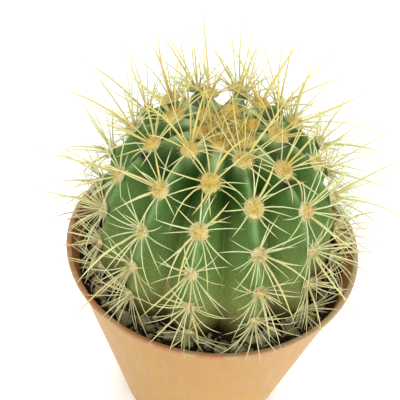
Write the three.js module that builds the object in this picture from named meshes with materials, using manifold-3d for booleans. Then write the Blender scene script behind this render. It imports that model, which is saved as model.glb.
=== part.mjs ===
// A round, ribbed cactus in a tapered plastic nursery pot of gritty soil.
// Millimetres, +Z up. The origin is the centre of the pot's flat underside.
// Azimuth 0 is the front, towards -Y, and azimuths grow towards +X.

import * as THREE from 'three';
import { mergeVertices } from 'three/addons/utils/BufferGeometryUtils.js';
import Module from 'manifold-3d';

const wasm = await Module();
wasm.setup();

const TAU = 2 * Math.PI;

// --- Driving dimensions ---

const pot = {
  rimRadius: 50, // outside of the lip
  height: 74,
  baseRadius: 29,
  wall: 1,
  floor: 1.5,
  lipHeight: 1.3,
  lipOverhang: 0.9, // how far the lip stands out of the wall
  bead: 0.35, // bevel of the lip and the foot
  sides: 48,
  drains: 6,
  drainRadius: 2.8,
  drainCircle: 19,
  drainSides: 12,
};

const soil = {
  top: pot.height - 8,
  gap: 0.35, // to the pot's wall and floor
  sides: 48,
  stones: 72,
  stoneHalfWidth: [1.5, 3.1], // of the smallest and the largest stone
  stoneProud: 2.4, // the most that a stone stands above the soil
  stoneBreadth: [0.7, 1], // of its half-width
  stoneHeight: 0.9, // of its half-width
  stoneScatter: 0.8, // of the step from one stone to the next
  innerReach: 37.5, // stones lie from here out to the pot's wall
  outerMargin: 1,
};

const stem = {
  ribs: 12,
  firstRib: -8.7, // azimuth of rib 0, degrees
  waist: pot.height + 5.5, // height of the widest place
  radius: 38.5, // crest of a rib at the waist
  rise: 46, // from the waist to the shoulders, before the crown's dimple
  drop: 30, // from the waist to the buried underside
  squareness: 2.5, // exponent of the superellipse: 2 is an ellipse
  dimple: 5.5,
  dimpleWidth: 9,
  furrow: 11, // deepest place between two ribs
  furrowOpens: [8, 31], // distances along the crest over which the furrows deepen
  furrowFades: [44, 80], // over which they get shallower
  furrowFading: 0.6, // share of the depth that they lose there
  furrowEnds: [86, 93], // over which they end, below the soil
  rounding: 0.18, // of the crest: 0 is a sharp ridge, 1 a broad round
  crownRounding: 0.6, // added to it at the crown
  crownRounds: [12, 32], // distances over which that fades
  waistRounding: 0.5, // added to it low on the stem
  waistRounds: [46, 80],
  wobble: 0.9, // sideways wander of a rib, degrees
  wobbleLength: 11, // distance along the crest for one radian of the wander
  wobbleShift: 2.1, // radians of the wander from one rib to the next
  chin: 1.3, // swelling of the crest under an areole
  chinLength: 3.8,
  chinWidth: 0.6, // of the way from the crest to the furrow
  stations: [0, 0.42, 1, -0.42], // vertices across a rib: 0 is its crest, 1 the furrow
  buriedRows: [93, 104], // distances along the crest below the soil
};

const root = { radius: 7, tip: 2.5, length: 24, sides: 8 };

// Areoles stand on every second rank of a rib, on odd and even ribs by turns.
const areole = {
  firstRank: 16.5, // distance from the crown, along the crest
  rankStep: 7.2, // to the next rank
  rankCrowding: 0.04, // how much closer the ranks get towards the soil
  rows: 5,
  young: [9, 5], // distance of an extra small areole by the crown, on even and odd ribs
  radius: 3.5, // of the wool's foot, inside the skin
  youngScale: 0.7,
  proud: 1.8, // height of the wool above the crest
  sunk: 1.7,
  sides: 6,
};

const crown = { radius: 6, height: 3 };

const spine = {
  radials: 6, // evenly round an areole
  centrals: 2,
  youngRadials: 4,
  youngCentrals: 1,
  radialScatter: 0.5, // of the step from one radial to the next
  centralScatter: 0.6,
  centralStart: 0.5, // of a step, so that the centrals point sideways and down
  youngScale: 0.75,
  youngLift: 24, // degrees that young radials lean out further
  shortens: [50, 70], // distances from the crown over which the centrals get shorter
  lowCentral: 0.65, // of its length that a central near the soil has
  radialLength: [12, 18],
  centralLength: [18, 30],
  radialLean: [14, 34], // degrees above the skin
  centralLean: [48, 76],
  radialThickness: 0.7,
  centralThickness: 1,
  sides: 3,
  rooted: 1.6, // how deep a spine starts inside its areole
  clearance: 0.7, // to the soil and the lip
  liftStep: 0.1, // of a unit direction
  mostLifts: 40,
  tested: { from: 2.5, step: 0.5 }, // places along a spine that have to be clear
};

// The random draws, each a number of its own.
const chance = {
  radialTurn: 1,
  radialLean: 2,
  radialLength: 3,
  centralTurn: 4,
  centralLean: 5,
  centralLength: 6,
  stone: 7,
};
const stoneChance = { size: 1, tilt: 2, roll: 3, breadth: 4, turn: 5, reach: 6, azimuth: 8 };
const idsPerRib = 16; // more than a rib has areoles

const colours = { plastic: 0xc98256, earth: 0x6f6453, skin: 0x4f7a4a };
const roughness = { plastic: 0.45, earth: 0.95, skin: 0.6 };

// --- Small helpers ---

const radians = THREE.MathUtils.degToRad;
const lerp = THREE.MathUtils.lerp;
const smoothstep = (low, high, x) => THREE.MathUtils.smoothstep(x, low, high);

// A fixed pseudo-random number from 0 to 1 for three whole numbers.
function draw(a, b, c) {
  const x = Math.sin(a * 127.1 + b * 311.7 + c * 74.7) * 43758.5453;
  return x - Math.floor(x);
}

function solidOf(geometry) {
  const bare = new THREE.BufferGeometry();
  bare.setAttribute('position', geometry.getAttribute('position'));
  bare.setIndex(geometry.index);
  const merged = mergeVertices(bare, 1e-4);
  return new wasm.Manifold(new wasm.Mesh({
    numProp: 3,
    vertProperties: merged.attributes.position.array,
    triVerts: new Uint32Array(merged.index.array),
  }));
}

// The main body alone: fusing can seal a small hollow or leave a loose scrap.
function mainBody(solid) {
  return solid.decompose().reduce((best, body) => (body.volume() > best.volume() ? body : best));
}

function geometryOf(solid) {
  const mesh = mainBody(solid).getMesh();
  const geometry = new THREE.BufferGeometry();
  geometry.setAttribute('position', new THREE.BufferAttribute(mesh.vertProperties, 3));
  geometry.setIndex(new THREE.BufferAttribute(mesh.triVerts, 1));
  geometry.computeVertexNormals();
  return geometry;
}

// A profile of [radius, height] pairs turned about the Z axis.
function turned(profile, sides) {
  const points = profile.map(([r, z]) => new THREE.Vector2(r, z));
  return new THREE.LatheGeometry(points, sides).rotateX(Math.PI / 2);
}

function named(name, solid, colour, rough) {
  const material = new THREE.MeshStandardMaterial({ color: colour, roughness: rough, metalness: 0 });
  const mesh = new THREE.Mesh(geometryOf(solid), material);
  mesh.name = name;
  return mesh;
}

// --- Pot ---

const wallTop = pot.rimRadius - pot.lipOverhang;

function potOutside(z) {
  return lerp(pot.baseRadius, wallTop, z / pot.height);
}

function potInside(z) {
  return potOutside(z) - pot.wall;
}

function makePot() {
  const { height, floor, lipHeight, rimRadius, baseRadius, bead } = pot;
  const shell = solidOf(turned([
    [0, 0],
    [baseRadius - bead, 0],
    [potOutside(bead), bead],
    [potOutside(height - lipHeight), height - lipHeight],
    [rimRadius - bead, height - lipHeight],
    [rimRadius, height - lipHeight + bead],
    [rimRadius, height - bead],
    [rimRadius - bead, height],
    [potInside(height) + bead, height],
    [potInside(height), height - bead],
    [potInside(floor), floor],
    [0, floor],
  ], pot.sides));
  let pierced = shell;
  for (let i = 0; i < pot.drains; i++) {
    const angle = (i + 0.5) * TAU / pot.drains;
    const drill = new THREE.CylinderGeometry(
      pot.drainRadius, pot.drainRadius, 4 * floor, pot.drainSides);
    drill.rotateX(Math.PI / 2);
    drill.translate(pot.drainCircle * Math.cos(angle), pot.drainCircle * Math.sin(angle), 0);
    pierced = pierced.subtract(solidOf(drill));
  }
  return pierced;
}

// --- Stem: the crest of a rib as a curve, and the surface across the ribs ---

// The crest at an angle of the superellipse: 90 degrees is the crown, 0 the waist.
function crestAt(angle) {
  const power = 2 / stem.squareness;
  const out = Math.max(Math.cos(angle), 0) ** power;
  const up = Math.abs(Math.sin(angle)) ** power;
  const r = stem.radius * out;
  const side = angle >= 0 ? stem.rise * up : -stem.drop * up;
  const dip = angle > 0 ? stem.dimple * Math.exp(-((r / stem.dimpleWidth) ** 2)) : 0;
  return new THREE.Vector2(r, stem.waist + side - dip);
}

// Points of the crest at even distances along it, from the crown down to the buried underside.
const crestStep = 0.2;
const crestSamples = 4000;
const normalReach = 4; // steps on either side that a normal is measured over
const crestPoints = (() => {
  const fine = [];
  for (let i = 0; i <= crestSamples; i++) {
    fine.push(crestAt(Math.PI * (0.5 - i / crestSamples)));
  }
  const even = [fine[0]];
  let travelled = 0;
  for (let i = 1; i <= crestSamples; i++) {
    travelled += fine[i].distanceTo(fine[i - 1]);
    if (travelled >= even.length * crestStep) even.push(fine[i]);
  }
  return even;
})();
const crestLength = (crestPoints.length - 1) * crestStep;

function rankDistance(rank) {
  return areole.firstRank + rank * (areole.rankStep - areole.rankCrowding * rank);
}

// The crest's radius, height and outward normal at a distance along it from the crown.
function crest(distance) {
  const exact = THREE.MathUtils.clamp(distance, 0, crestLength) / crestStep;
  const i = Math.min(Math.floor(exact), crestPoints.length - 2);
  const point = crestPoints[i].clone().lerp(crestPoints[i + 1], exact - i);
  const before = crestPoints[Math.max(i - normalReach, 0)];
  const after = crestPoints[Math.min(i + 1 + normalReach, crestPoints.length - 1)];
  const along = after.clone().sub(before).normalize();
  return { point, normal: new THREE.Vector2(-along.y, along.x) };
}

function ribAzimuth(rib, distance) {
  const phase = distance / stem.wobbleLength + rib * stem.wobbleShift;
  const wander = stem.wobble * Math.sin(phase);
  return radians(stem.firstRib + rib * 360 / stem.ribs + wander);
}

function areolesOf(rib) {
  const odd = rib % 2;
  const list = [{ distance: areole.young[odd], young: true }];
  for (let row = 0; row < areole.rows; row++) {
    list.push({ distance: rankDistance(2 * row + 1 - odd), young: false });
  }
  return list;
}

function furrowDepth(distance) {
  const opening = smoothstep(...stem.furrowOpens, distance);
  const fading = 1 - stem.furrowFading * smoothstep(...stem.furrowFades, distance);
  const buried = 1 - smoothstep(...stem.furrowEnds, distance);
  return stem.furrow * opening * fading * buried;
}

function roundingAt(distance) {
  const above = stem.crownRounding * (1 - smoothstep(...stem.crownRounds, distance));
  const below = stem.waistRounding * smoothstep(...stem.waistRounds, distance);
  return stem.rounding + above + below;
}

// Share of the furrow's depth at a place across the rib, from 0 on the crest to 1 in the furrow.
function flank(across, distance) {
  const c = roundingAt(distance);
  return (Math.hypot(across, c) - c) / (Math.hypot(1, c) - c);
}

function chin(rib, distance, across) {
  const narrow = Math.max(0, 1 - across / stem.chinWidth) ** 2;
  let swell = 0;
  for (const a of areolesOf(rib)) {
    if (!a.young) swell += Math.exp(-(((distance - a.distance) / stem.chinLength) ** 2));
  }
  return stem.chin * swell * narrow;
}

function onMeridian(azimuth, r, z) {
  return new THREE.Vector3(r * Math.sin(azimuth), -r * Math.cos(azimuth), z);
}

// A point of the skin. station runs from -1 to 1 across the rib; grow offsets the whole surface.
function skin(rib, station, distance, grow) {
  const { point, normal } = crest(distance);
  const across = Math.abs(station);
  const neighbour = rib + Math.sign(station);
  const own = ribAzimuth(rib, distance);
  const azimuth = lerp(own, ribAzimuth(neighbour, distance), across / 2);
  const furrow = furrowDepth(distance) * flank(across, distance);
  const shift = grow + chin(rib, distance, across) - furrow;
  const r = Math.max(point.x + shift * normal.x, 0);
  return onMeridian(azimuth, r, point.y + shift * normal.y);
}

// Distances of the rows of vertices, from the crown to the buried underside.
const crownRank = -1.5;
const lastRank = 2 * areole.rows;
const rows = (() => {
  const list = [0];
  for (let rank = crownRank; rank < 0; rank += 0.5) list.push(rankDistance(rank));
  for (let rank = 0; rank <= lastRank; rank++) list.push(rankDistance(rank));
  return [...list, ...stem.buriedRows, crestLength];
})();

// A lathe with its vertices moved on to the ribbed skin, row by row from the bottom up.
function stemGeometry(grow) {
  const last = rows.length - 1;
  const profile = rows.map((_, row) => [row === 0 || row === last ? 0 : 1, row]);
  const perRib = stem.stations.length;
  const sides = stem.ribs * perRib;
  const geometry = turned(profile, sides);
  const position = geometry.getAttribute('position');
  for (let i = 0; i < position.count; i++) {
    const side = Math.floor(i / rows.length) % sides;
    const station = stem.stations[side % perRib];
    const rib = Math.floor(side / perRib) + (station < 0 ? 1 : 0);
    const row = last - i % rows.length;
    const place = skin(rib, station, rows[row], grow);
    const onAxis = row === 0 || row === last;
    position.setXYZ(i, onAxis ? 0 : place.x, onAxis ? 0 : place.y, place.z);
  }
  return geometry;
}

function rootGeometry(grow) {
  const top = stem.waist - stem.drop + root.radius;
  const cone = new THREE.CylinderGeometry(
    root.radius + grow, root.tip + grow, root.length + grow, root.sides);
  cone.rotateX(Math.PI / 2);
  cone.translate(0, 0, top - (root.length + grow) / 2);
  return cone;
}

// --- Areoles and spines ---

// Where an areole sits, with its outward, downward and sideways directions.
function areoleFrame(rib, distance) {
  const azimuth = ribAzimuth(rib, distance);
  const { normal } = crest(distance);
  const seat = skin(rib, 0, distance, 0);
  const outward = onMeridian(azimuth, normal.x, normal.y).normalize();
  const sideways = onMeridian(azimuth + Math.PI / 2, 1, 0);
  const downward = new THREE.Vector3().crossVectors(outward, sideways).normalize();
  if (downward.z > 0) downward.negate();
  return { seat, outward, downward, sideways };
}

// True where a spine would run into the soil, its stones or the pot's lip.
function blocked(point) {
  const r = Math.hypot(point.x, point.y);
  const lipInner = potInside(pot.height) - spine.clearance;
  const lipOuter = pot.rimRadius + spine.clearance;
  if (r > lipOuter) return false;
  const floor = r > lipInner ? pot.height : soil.top + soil.stoneProud;
  return point.z < floor + spine.clearance;
}

// A spine's direction, raised little by little until all of it runs clear.
function bentClear(start, direction, length) {
  const way = direction.clone();
  const sample = new THREE.Vector3();
  for (let lift = 0; lift < spine.mostLifts; lift++) {
    let clear = true;
    for (let along = spine.tested.from; along <= length; along += spine.tested.step) {
      sample.copy(start).addScaledVector(way, along);
      if (blocked(sample)) clear = false;
    }
    if (clear) return way;
    way.z += spine.liftStep;
    way.normalize();
  }
  return way;
}

function pick([low, high], share) {
  return lerp(low, high, share);
}

// Every spine of one areole: its direction, length and thickness.
function spinesOf(rib, index, place) {
  const { seat, outward, downward, sideways } = areoleFrame(rib, place.distance);
  const list = [];
  const add = (turn, lean, length, thickness) => {
    const flat = downward.clone().multiplyScalar(Math.cos(turn)).addScaledVector(sideways, Math.sin(turn));
    const way = flat.multiplyScalar(Math.cos(lean)).addScaledVector(outward, Math.sin(lean));
    list.push({ seat, way: bentClear(seat, way, length), length, thickness });
  };
  const scale = place.young ? spine.youngScale : 1;
  const lift = place.young ? spine.youngLift : 0;
  const radials = place.young ? spine.youngRadials : spine.radials;
  const centrals = place.young ? spine.youngCentrals : spine.centrals;
  const low = smoothstep(...spine.shortens, place.distance);
  const centralScale = scale * lerp(1, spine.lowCentral, low);
  const id = rib * idsPerRib + index;
  for (let i = 0; i < radials; i++) {
    const share = i + spine.radialScatter * draw(id, i, chance.radialTurn);
    const turn = share * TAU / radials;
    const lean = radians(pick(spine.radialLean, draw(id, i, chance.radialLean)) + lift);
    const length = pick(spine.radialLength, draw(id, i, chance.radialLength)) * scale;
    add(turn, lean, length, spine.radialThickness);
  }
  for (let i = 0; i < centrals; i++) {
    const share = i + spine.centralStart + spine.centralScatter * draw(id, i, chance.centralTurn);
    const turn = share * TAU / centrals;
    const lean = radians(pick(spine.centralLean, draw(id, i, chance.centralLean)));
    const length = pick(spine.centralLength, draw(id, i, chance.centralLength)) * centralScale;
    add(turn, lean, length, spine.centralThickness);
  }
  return list;
}

function turnTo(geometry, from, direction) {
  geometry.applyQuaternion(new THREE.Quaternion().setFromUnitVectors(from, direction));
  return geometry;
}

function spineSolid({ seat, way, length, thickness }) {
  const whole = length + spine.rooted;
  const needle = new THREE.ConeGeometry(thickness / 2, whole, spine.sides);
  needle.translate(0, whole / 2 - spine.rooted, 0);
  turnTo(needle, new THREE.Vector3(0, 1, 0), way);
  return solidOf(needle.translate(seat.x, seat.y, seat.z));
}

function cushionSolid(rib, place) {
  const { seat, outward } = areoleFrame(rib, place.distance);
  const scale = place.young ? areole.youngScale : 1;
  const height = areole.proud + areole.sunk;
  const cushion = new THREE.ConeGeometry(areole.radius, height, areole.sides);
  cushion.translate(0, height / 2 - areole.sunk, 0).scale(scale, scale, scale);
  turnTo(cushion, new THREE.Vector3(0, 1, 0), outward);
  return solidOf(cushion.translate(seat.x, seat.y, seat.z));
}

function makeCactus() {
  let plant = solidOf(stemGeometry(0)).add(solidOf(rootGeometry(0)));
  const wool = new THREE.IcosahedronGeometry(1, 1).scale(crown.radius, crown.radius, crown.height);
  plant = plant.add(solidOf(wool.translate(0, 0, crest(0).point.y)));
  for (let rib = 0; rib < stem.ribs; rib++) {
    areolesOf(rib).forEach((place, index) => {
      let tuft = cushionSolid(rib, place);
      for (const one of spinesOf(rib, index, place)) tuft = tuft.add(spineSolid(one));
      plant = plant.add(tuft);
    });
  }
  return plant;
}

// --- Soil with its stones ---

function stoneSolid(i) {
  const of = (what) => draw(i, what, chance.stone);
  const size = pick(soil.stoneHalfWidth, of(stoneChance.size));
  const outer = potInside(soil.top) - size - soil.outerMargin;
  const r = lerp(soil.innerReach, outer, of(stoneChance.reach));
  const azimuth = (i + soil.stoneScatter * of(stoneChance.azimuth)) * TAU / soil.stones;
  const breadth = size * pick(soil.stoneBreadth, of(stoneChance.breadth));
  const height = Math.min(size * soil.stoneHeight, soil.stoneProud);
  const stone = new THREE.IcosahedronGeometry(1, 0);
  stone.rotateX(TAU * of(stoneChance.tilt)).rotateZ(TAU * of(stoneChance.roll));
  stone.scale(size, breadth, height).rotateZ(TAU * of(stoneChance.turn));
  const place = onMeridian(azimuth, r, soil.top);
  return solidOf(stone.translate(place.x, place.y, place.z));
}

function makeSoil() {
  const low = pot.floor + soil.gap;
  let bed = solidOf(turned([
    [0, low],
    [potInside(low) - soil.gap, low],
    [potInside(soil.top) - soil.gap, soil.top],
    [0, soil.top],
  ], soil.sides));
  for (let i = 0; i < soil.stones; i++) bed = bed.add(stoneSolid(i));
  return bed.subtract(solidOf(stemGeometry(soil.gap))).subtract(solidOf(rootGeometry(soil.gap)));
}

const model = new THREE.Group();
model.add(
  named('pot', makePot(), colours.plastic, roughness.plastic),
  named('soil', makeSoil(), colours.earth, roughness.earth),
  named('cactus', makeCactus(), colours.skin, roughness.skin),
);

export default model;
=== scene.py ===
"""A round ribbed cactus in a plastic nursery pot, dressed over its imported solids.

Shapes are worked out in millimetres, in the frame of the solids: +Z is up, the
origin is the centre of the pot's flat underside, and azimuth 0 is the front,
towards -Y. Each finished mesh is brought to metres as it becomes an object.
"""

from __future__ import annotations

import bisect
import logging
import math
import random
from dataclasses import dataclass, field
from enum import Enum, IntEnum
import bmesh
import bpy
from mathutils import Matrix, Vector, noise


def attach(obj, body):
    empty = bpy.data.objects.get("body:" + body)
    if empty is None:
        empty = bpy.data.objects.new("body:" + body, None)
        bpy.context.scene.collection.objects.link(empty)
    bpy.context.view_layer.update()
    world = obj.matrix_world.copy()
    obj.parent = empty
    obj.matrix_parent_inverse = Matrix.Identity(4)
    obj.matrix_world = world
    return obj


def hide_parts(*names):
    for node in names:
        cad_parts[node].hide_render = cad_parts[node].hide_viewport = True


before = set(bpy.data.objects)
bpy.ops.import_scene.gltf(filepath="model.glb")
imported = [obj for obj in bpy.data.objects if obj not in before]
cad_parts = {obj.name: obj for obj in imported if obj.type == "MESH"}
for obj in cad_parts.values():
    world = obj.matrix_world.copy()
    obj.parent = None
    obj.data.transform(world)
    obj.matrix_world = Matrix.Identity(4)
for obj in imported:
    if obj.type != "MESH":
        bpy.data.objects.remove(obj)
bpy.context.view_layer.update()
BODY = "root"
MM = 0.001
TAU = 2 * math.pi
UP = Vector((0, 0, 1))
LOG = logging.getLogger("cactus")

SPUN_WELD = 0.001
HASH_A = 127.1
HASH_B = 311.7
HASH_C = 74.7
HASH_SPREAD = 43758.5453
NOISE_MIDDLE = 0.5

Range = tuple[float, float]
Colour = tuple[float, float, float]
Socket = bpy.types.NodeSocket
Sockets = tuple[Socket, Socket]


class Slot(Enum):
    """The record's material slots."""

    POT = "pot_plastic"
    SOIL = "grit_soil"
    SKIN = "cactus_skin"
    SPINES = "cactus_spines"
    WOOL = "areole_wool"


class Node(Enum):
    """The solids that the dressed pieces stand for."""

    POT = "pot"
    SOIL = "soil"
    CACTUS = "cactus"


# --- Small helpers ---


def draw(a: float, b: float, c: float) -> float:
    """Give the plant's fixed pseudo-random number from 0 to 1 for three whole numbers."""
    x = math.sin(a * HASH_A + b * HASH_B + c * HASH_C) * HASH_SPREAD
    return x - math.floor(x)


def lerp(low: float, high: float, share: float) -> float:
    """Mix two numbers."""
    return low + (high - low) * share


def pick(limits: Range, share: float) -> float:
    """Give the value at a share of the way through a range."""
    return lerp(*limits, share)


def smoothstep(low: float, high: float, x: float) -> float:
    """Ease from 0 at low to 1 at high."""
    t = min(max((x - low) / (high - low), 0.0), 1.0)
    return t * t * (3 - 2 * t)


def on_meridian(azimuth: float, r: float, z: float) -> Vector:
    """Give the point at a radius and height on the half-plane of an azimuth."""
    return Vector((r * math.sin(azimuth), -r * math.cos(azimuth), z))


def srgb(red: int, green: int, blue: int) -> Colour:
    """Turn a colour given as 0 to 255 display values into linear light.

    Args:
        red: Display value of red.
        green: Display value of green.
        blue: Display value of blue.

    Returns:
        The linear colour.
    """

    def linear(value: int) -> float:
        """Undo the display curve of one value."""
        x = value / 255
        return x / 12.92 if x <= 0.04045 else ((x + 0.055) / 1.055) ** 2.4

    return linear(red), linear(green), linear(blue)


def add_object(name: str, data: bpy.types.ID) -> bpy.types.Object:
    """Put an object into the scene.

    Args:
        name: The object's name.
        data: Its mesh, camera or light.

    Returns:
        The object, at the origin.
    """
    made = bpy.data.objects.new(name, data)
    bpy.context.scene.collection.objects.link(made)
    return made


def finish_piece(
    bm: bmesh.types.BMesh,
    name: str,
    material: bpy.types.Material,
    node: Node,
    recalculate: bool = True,
) -> bpy.types.Object:
    """Turn a mesh in millimetres into a named piece that rides on the plant's one body.

    Args:
        bm: The mesh, which is freed.
        name: The piece's name.
        material: Its finish.
        node: The solid that the piece stands for.
        recalculate: Whether its faces are turned outwards first.

    Returns:
        The piece.
    """
    if recalculate:
        bmesh.ops.recalc_face_normals(bm, faces=bm.faces)
    bmesh.ops.scale(bm, vec=(MM, MM, MM), verts=bm.verts)
    for face in bm.faces:
        face.smooth = True
    mesh = template_of(bm, name)
    mesh.materials.append(material)
    piece = add_object(name, mesh)
    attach(piece, BODY)
    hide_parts(node.value)
    LOG.info("%s: %d faces", name, len(mesh.polygons))
    return piece


def template_of(bm: bmesh.types.BMesh, name: str) -> bpy.types.Mesh:
    """Keep a mesh under a name, and free its bmesh.

    Args:
        bm: The mesh, which is freed.
        name: The name that it is kept under.

    Returns:
        The kept mesh.
    """
    mesh = bpy.data.meshes.new(name)
    bm.to_mesh(mesh)
    bm.free()
    return mesh


def stamp(bm: bmesh.types.BMesh, template: bpy.types.Mesh) -> list[bmesh.types.BMVert]:
    """Add a copy of a pattern to a mesh.

    Args:
        bm: The mesh that grows.
        template: The pattern.

    Returns:
        The new vertices, still where the pattern has them.
    """
    first = len(bm.verts)
    bm.from_mesh(template)
    bm.verts.ensure_lookup_table()
    return bm.verts[first:]


def spun(section: list[Range], steps: int) -> bmesh.types.BMesh:
    """Spin a section round the upright axis into a closed mesh.

    Args:
        section: Radius and height of its corners, from the axis round to the axis.
        steps: How many facets go round.

    Returns:
        The mesh.
    """
    bm = bmesh.new()
    chain = [bm.verts.new((r, 0, z)) for r, z in section]
    edges = [bm.edges.new(pair) for pair in zip(chain, chain[1:])]
    bmesh.ops.spin(
        bm, geom=chain + edges, cent=(0, 0, 0), axis=UP, angle=TAU, steps=steps, use_merge=True
    )
    bmesh.ops.remove_doubles(bm, verts=bm.verts, dist=SPUN_WELD)
    return bm


# --- Finishes ---


class Sheet:
    """The node tree of a material or a group, with short calls to fill it."""

    def __init__(self, tree: bpy.types.NodeTree) -> None:
        """Take an empty tree."""
        self.tree = tree

    def add(self, kind: str, **settings: object) -> bpy.types.Node:
        """Add a node.

        Args:
            kind: Its type's name, without the ShaderNode in front.
            settings: Its properties.

        Returns:
            The node.
        """
        node = self.tree.nodes.new("ShaderNode" + kind)
        for name, value in settings.items():
            setattr(node, name, value)
        return node

    def join(self, source: Socket, target: Socket) -> None:
        """Link two sockets."""
        self.tree.links.new(source, target)

    def feed(self, value: object, target: Socket) -> None:
        """Link a socket, or set a plain value.

        Args:
            value: A socket, a number or a colour.
            target: The socket that takes it.
        """
        if isinstance(value, bpy.types.NodeSocket):
            self.join(value, target)
        elif isinstance(value, tuple) and len(value) == 3 and target.type == "RGBA":
            target.default_value = (*value, 1.0)
        else:
            target.default_value = value

    def mix(self, share: object, first: object, second: object) -> Socket:
        """Mix two colours.

        Args:
            share: How much of the second there is.
            first: A colour or a socket.
            second: A colour or a socket.

        Returns:
            The mixed colour.
        """
        node = self.add("Mix", data_type="RGBA")
        self.feed(share, node.inputs["Factor"])
        self.feed(first, node.inputs["A"])
        self.feed(second, node.inputs["B"])
        return node.outputs["Result"]

    def math(self, operation: str, first: object, second: object = 0.0) -> Socket:
        """Give the result of a sum on two numbers or sockets.

        Args:
            operation: The kind of sum.
            first: A number or a socket.
            second: A number or a socket.

        Returns:
            The result.
        """
        node = self.add("Math", operation=operation)
        self.feed(first, node.inputs[0])
        self.feed(second, node.inputs[1])
        return node.outputs[0]

    def times(self, first: object, second: object) -> Socket:
        """Multiply two numbers or sockets."""
        return self.math("MULTIPLY", first, second)

    def span(self, value: object, ends: Range, results: Range = (0.0, 1.0)) -> Socket:
        """Ease a stretch of values over into another, and hold it beyond its ends.

        Args:
            value: A number or a socket.
            ends: Where the stretch starts and ends.
            results: What comes out at its start and at its end.

        Returns:
            The eased value.
        """
        node = self.add("MapRange", interpolation_type="SMOOTHSTEP")
        self.feed(value, node.inputs["Value"])
        node.inputs["From Min"].default_value, node.inputs["From Max"].default_value = ends
        node.inputs["To Min"].default_value, node.inputs["To Max"].default_value = results
        return node.outputs["Result"]

    def ramp(self, value: Socket, stops: list[tuple[float, Colour]]) -> Socket:
        """Colour a value by a list of stops.

        Args:
            value: The value, from 0 to 1.
            stops: Places along it with their colours.

        Returns:
            The colour.
        """
        node = self.add("ValToRGB")
        elements = node.color_ramp.elements
        for element, (place, colour) in zip(elements, (stops[0], stops[-1])):
            element.position = place
            element.color = (*colour, 1.0)
        for place, colour in stops[1:-1]:
            elements.new(place).color = (*colour, 1.0)
        self.join(value, node.inputs["Fac"])
        return node.outputs["Color"]

    def attribute(self, name: str) -> Socket:
        """Read one of the piece's own attributes as a number."""
        return self.add("Attribute", attribute_name=name).outputs["Fac"]

    def place(self) -> Socket:
        """Give the surface point in the piece's own frame."""
        return self.add("TexCoord").outputs["Object"]


class Effect(Enum):
    """The effects that several finishes share, each a node group."""

    MOTTLE = "mottle"
    SPECKLE = "speckle"
    RELIEF = "relief"


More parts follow.
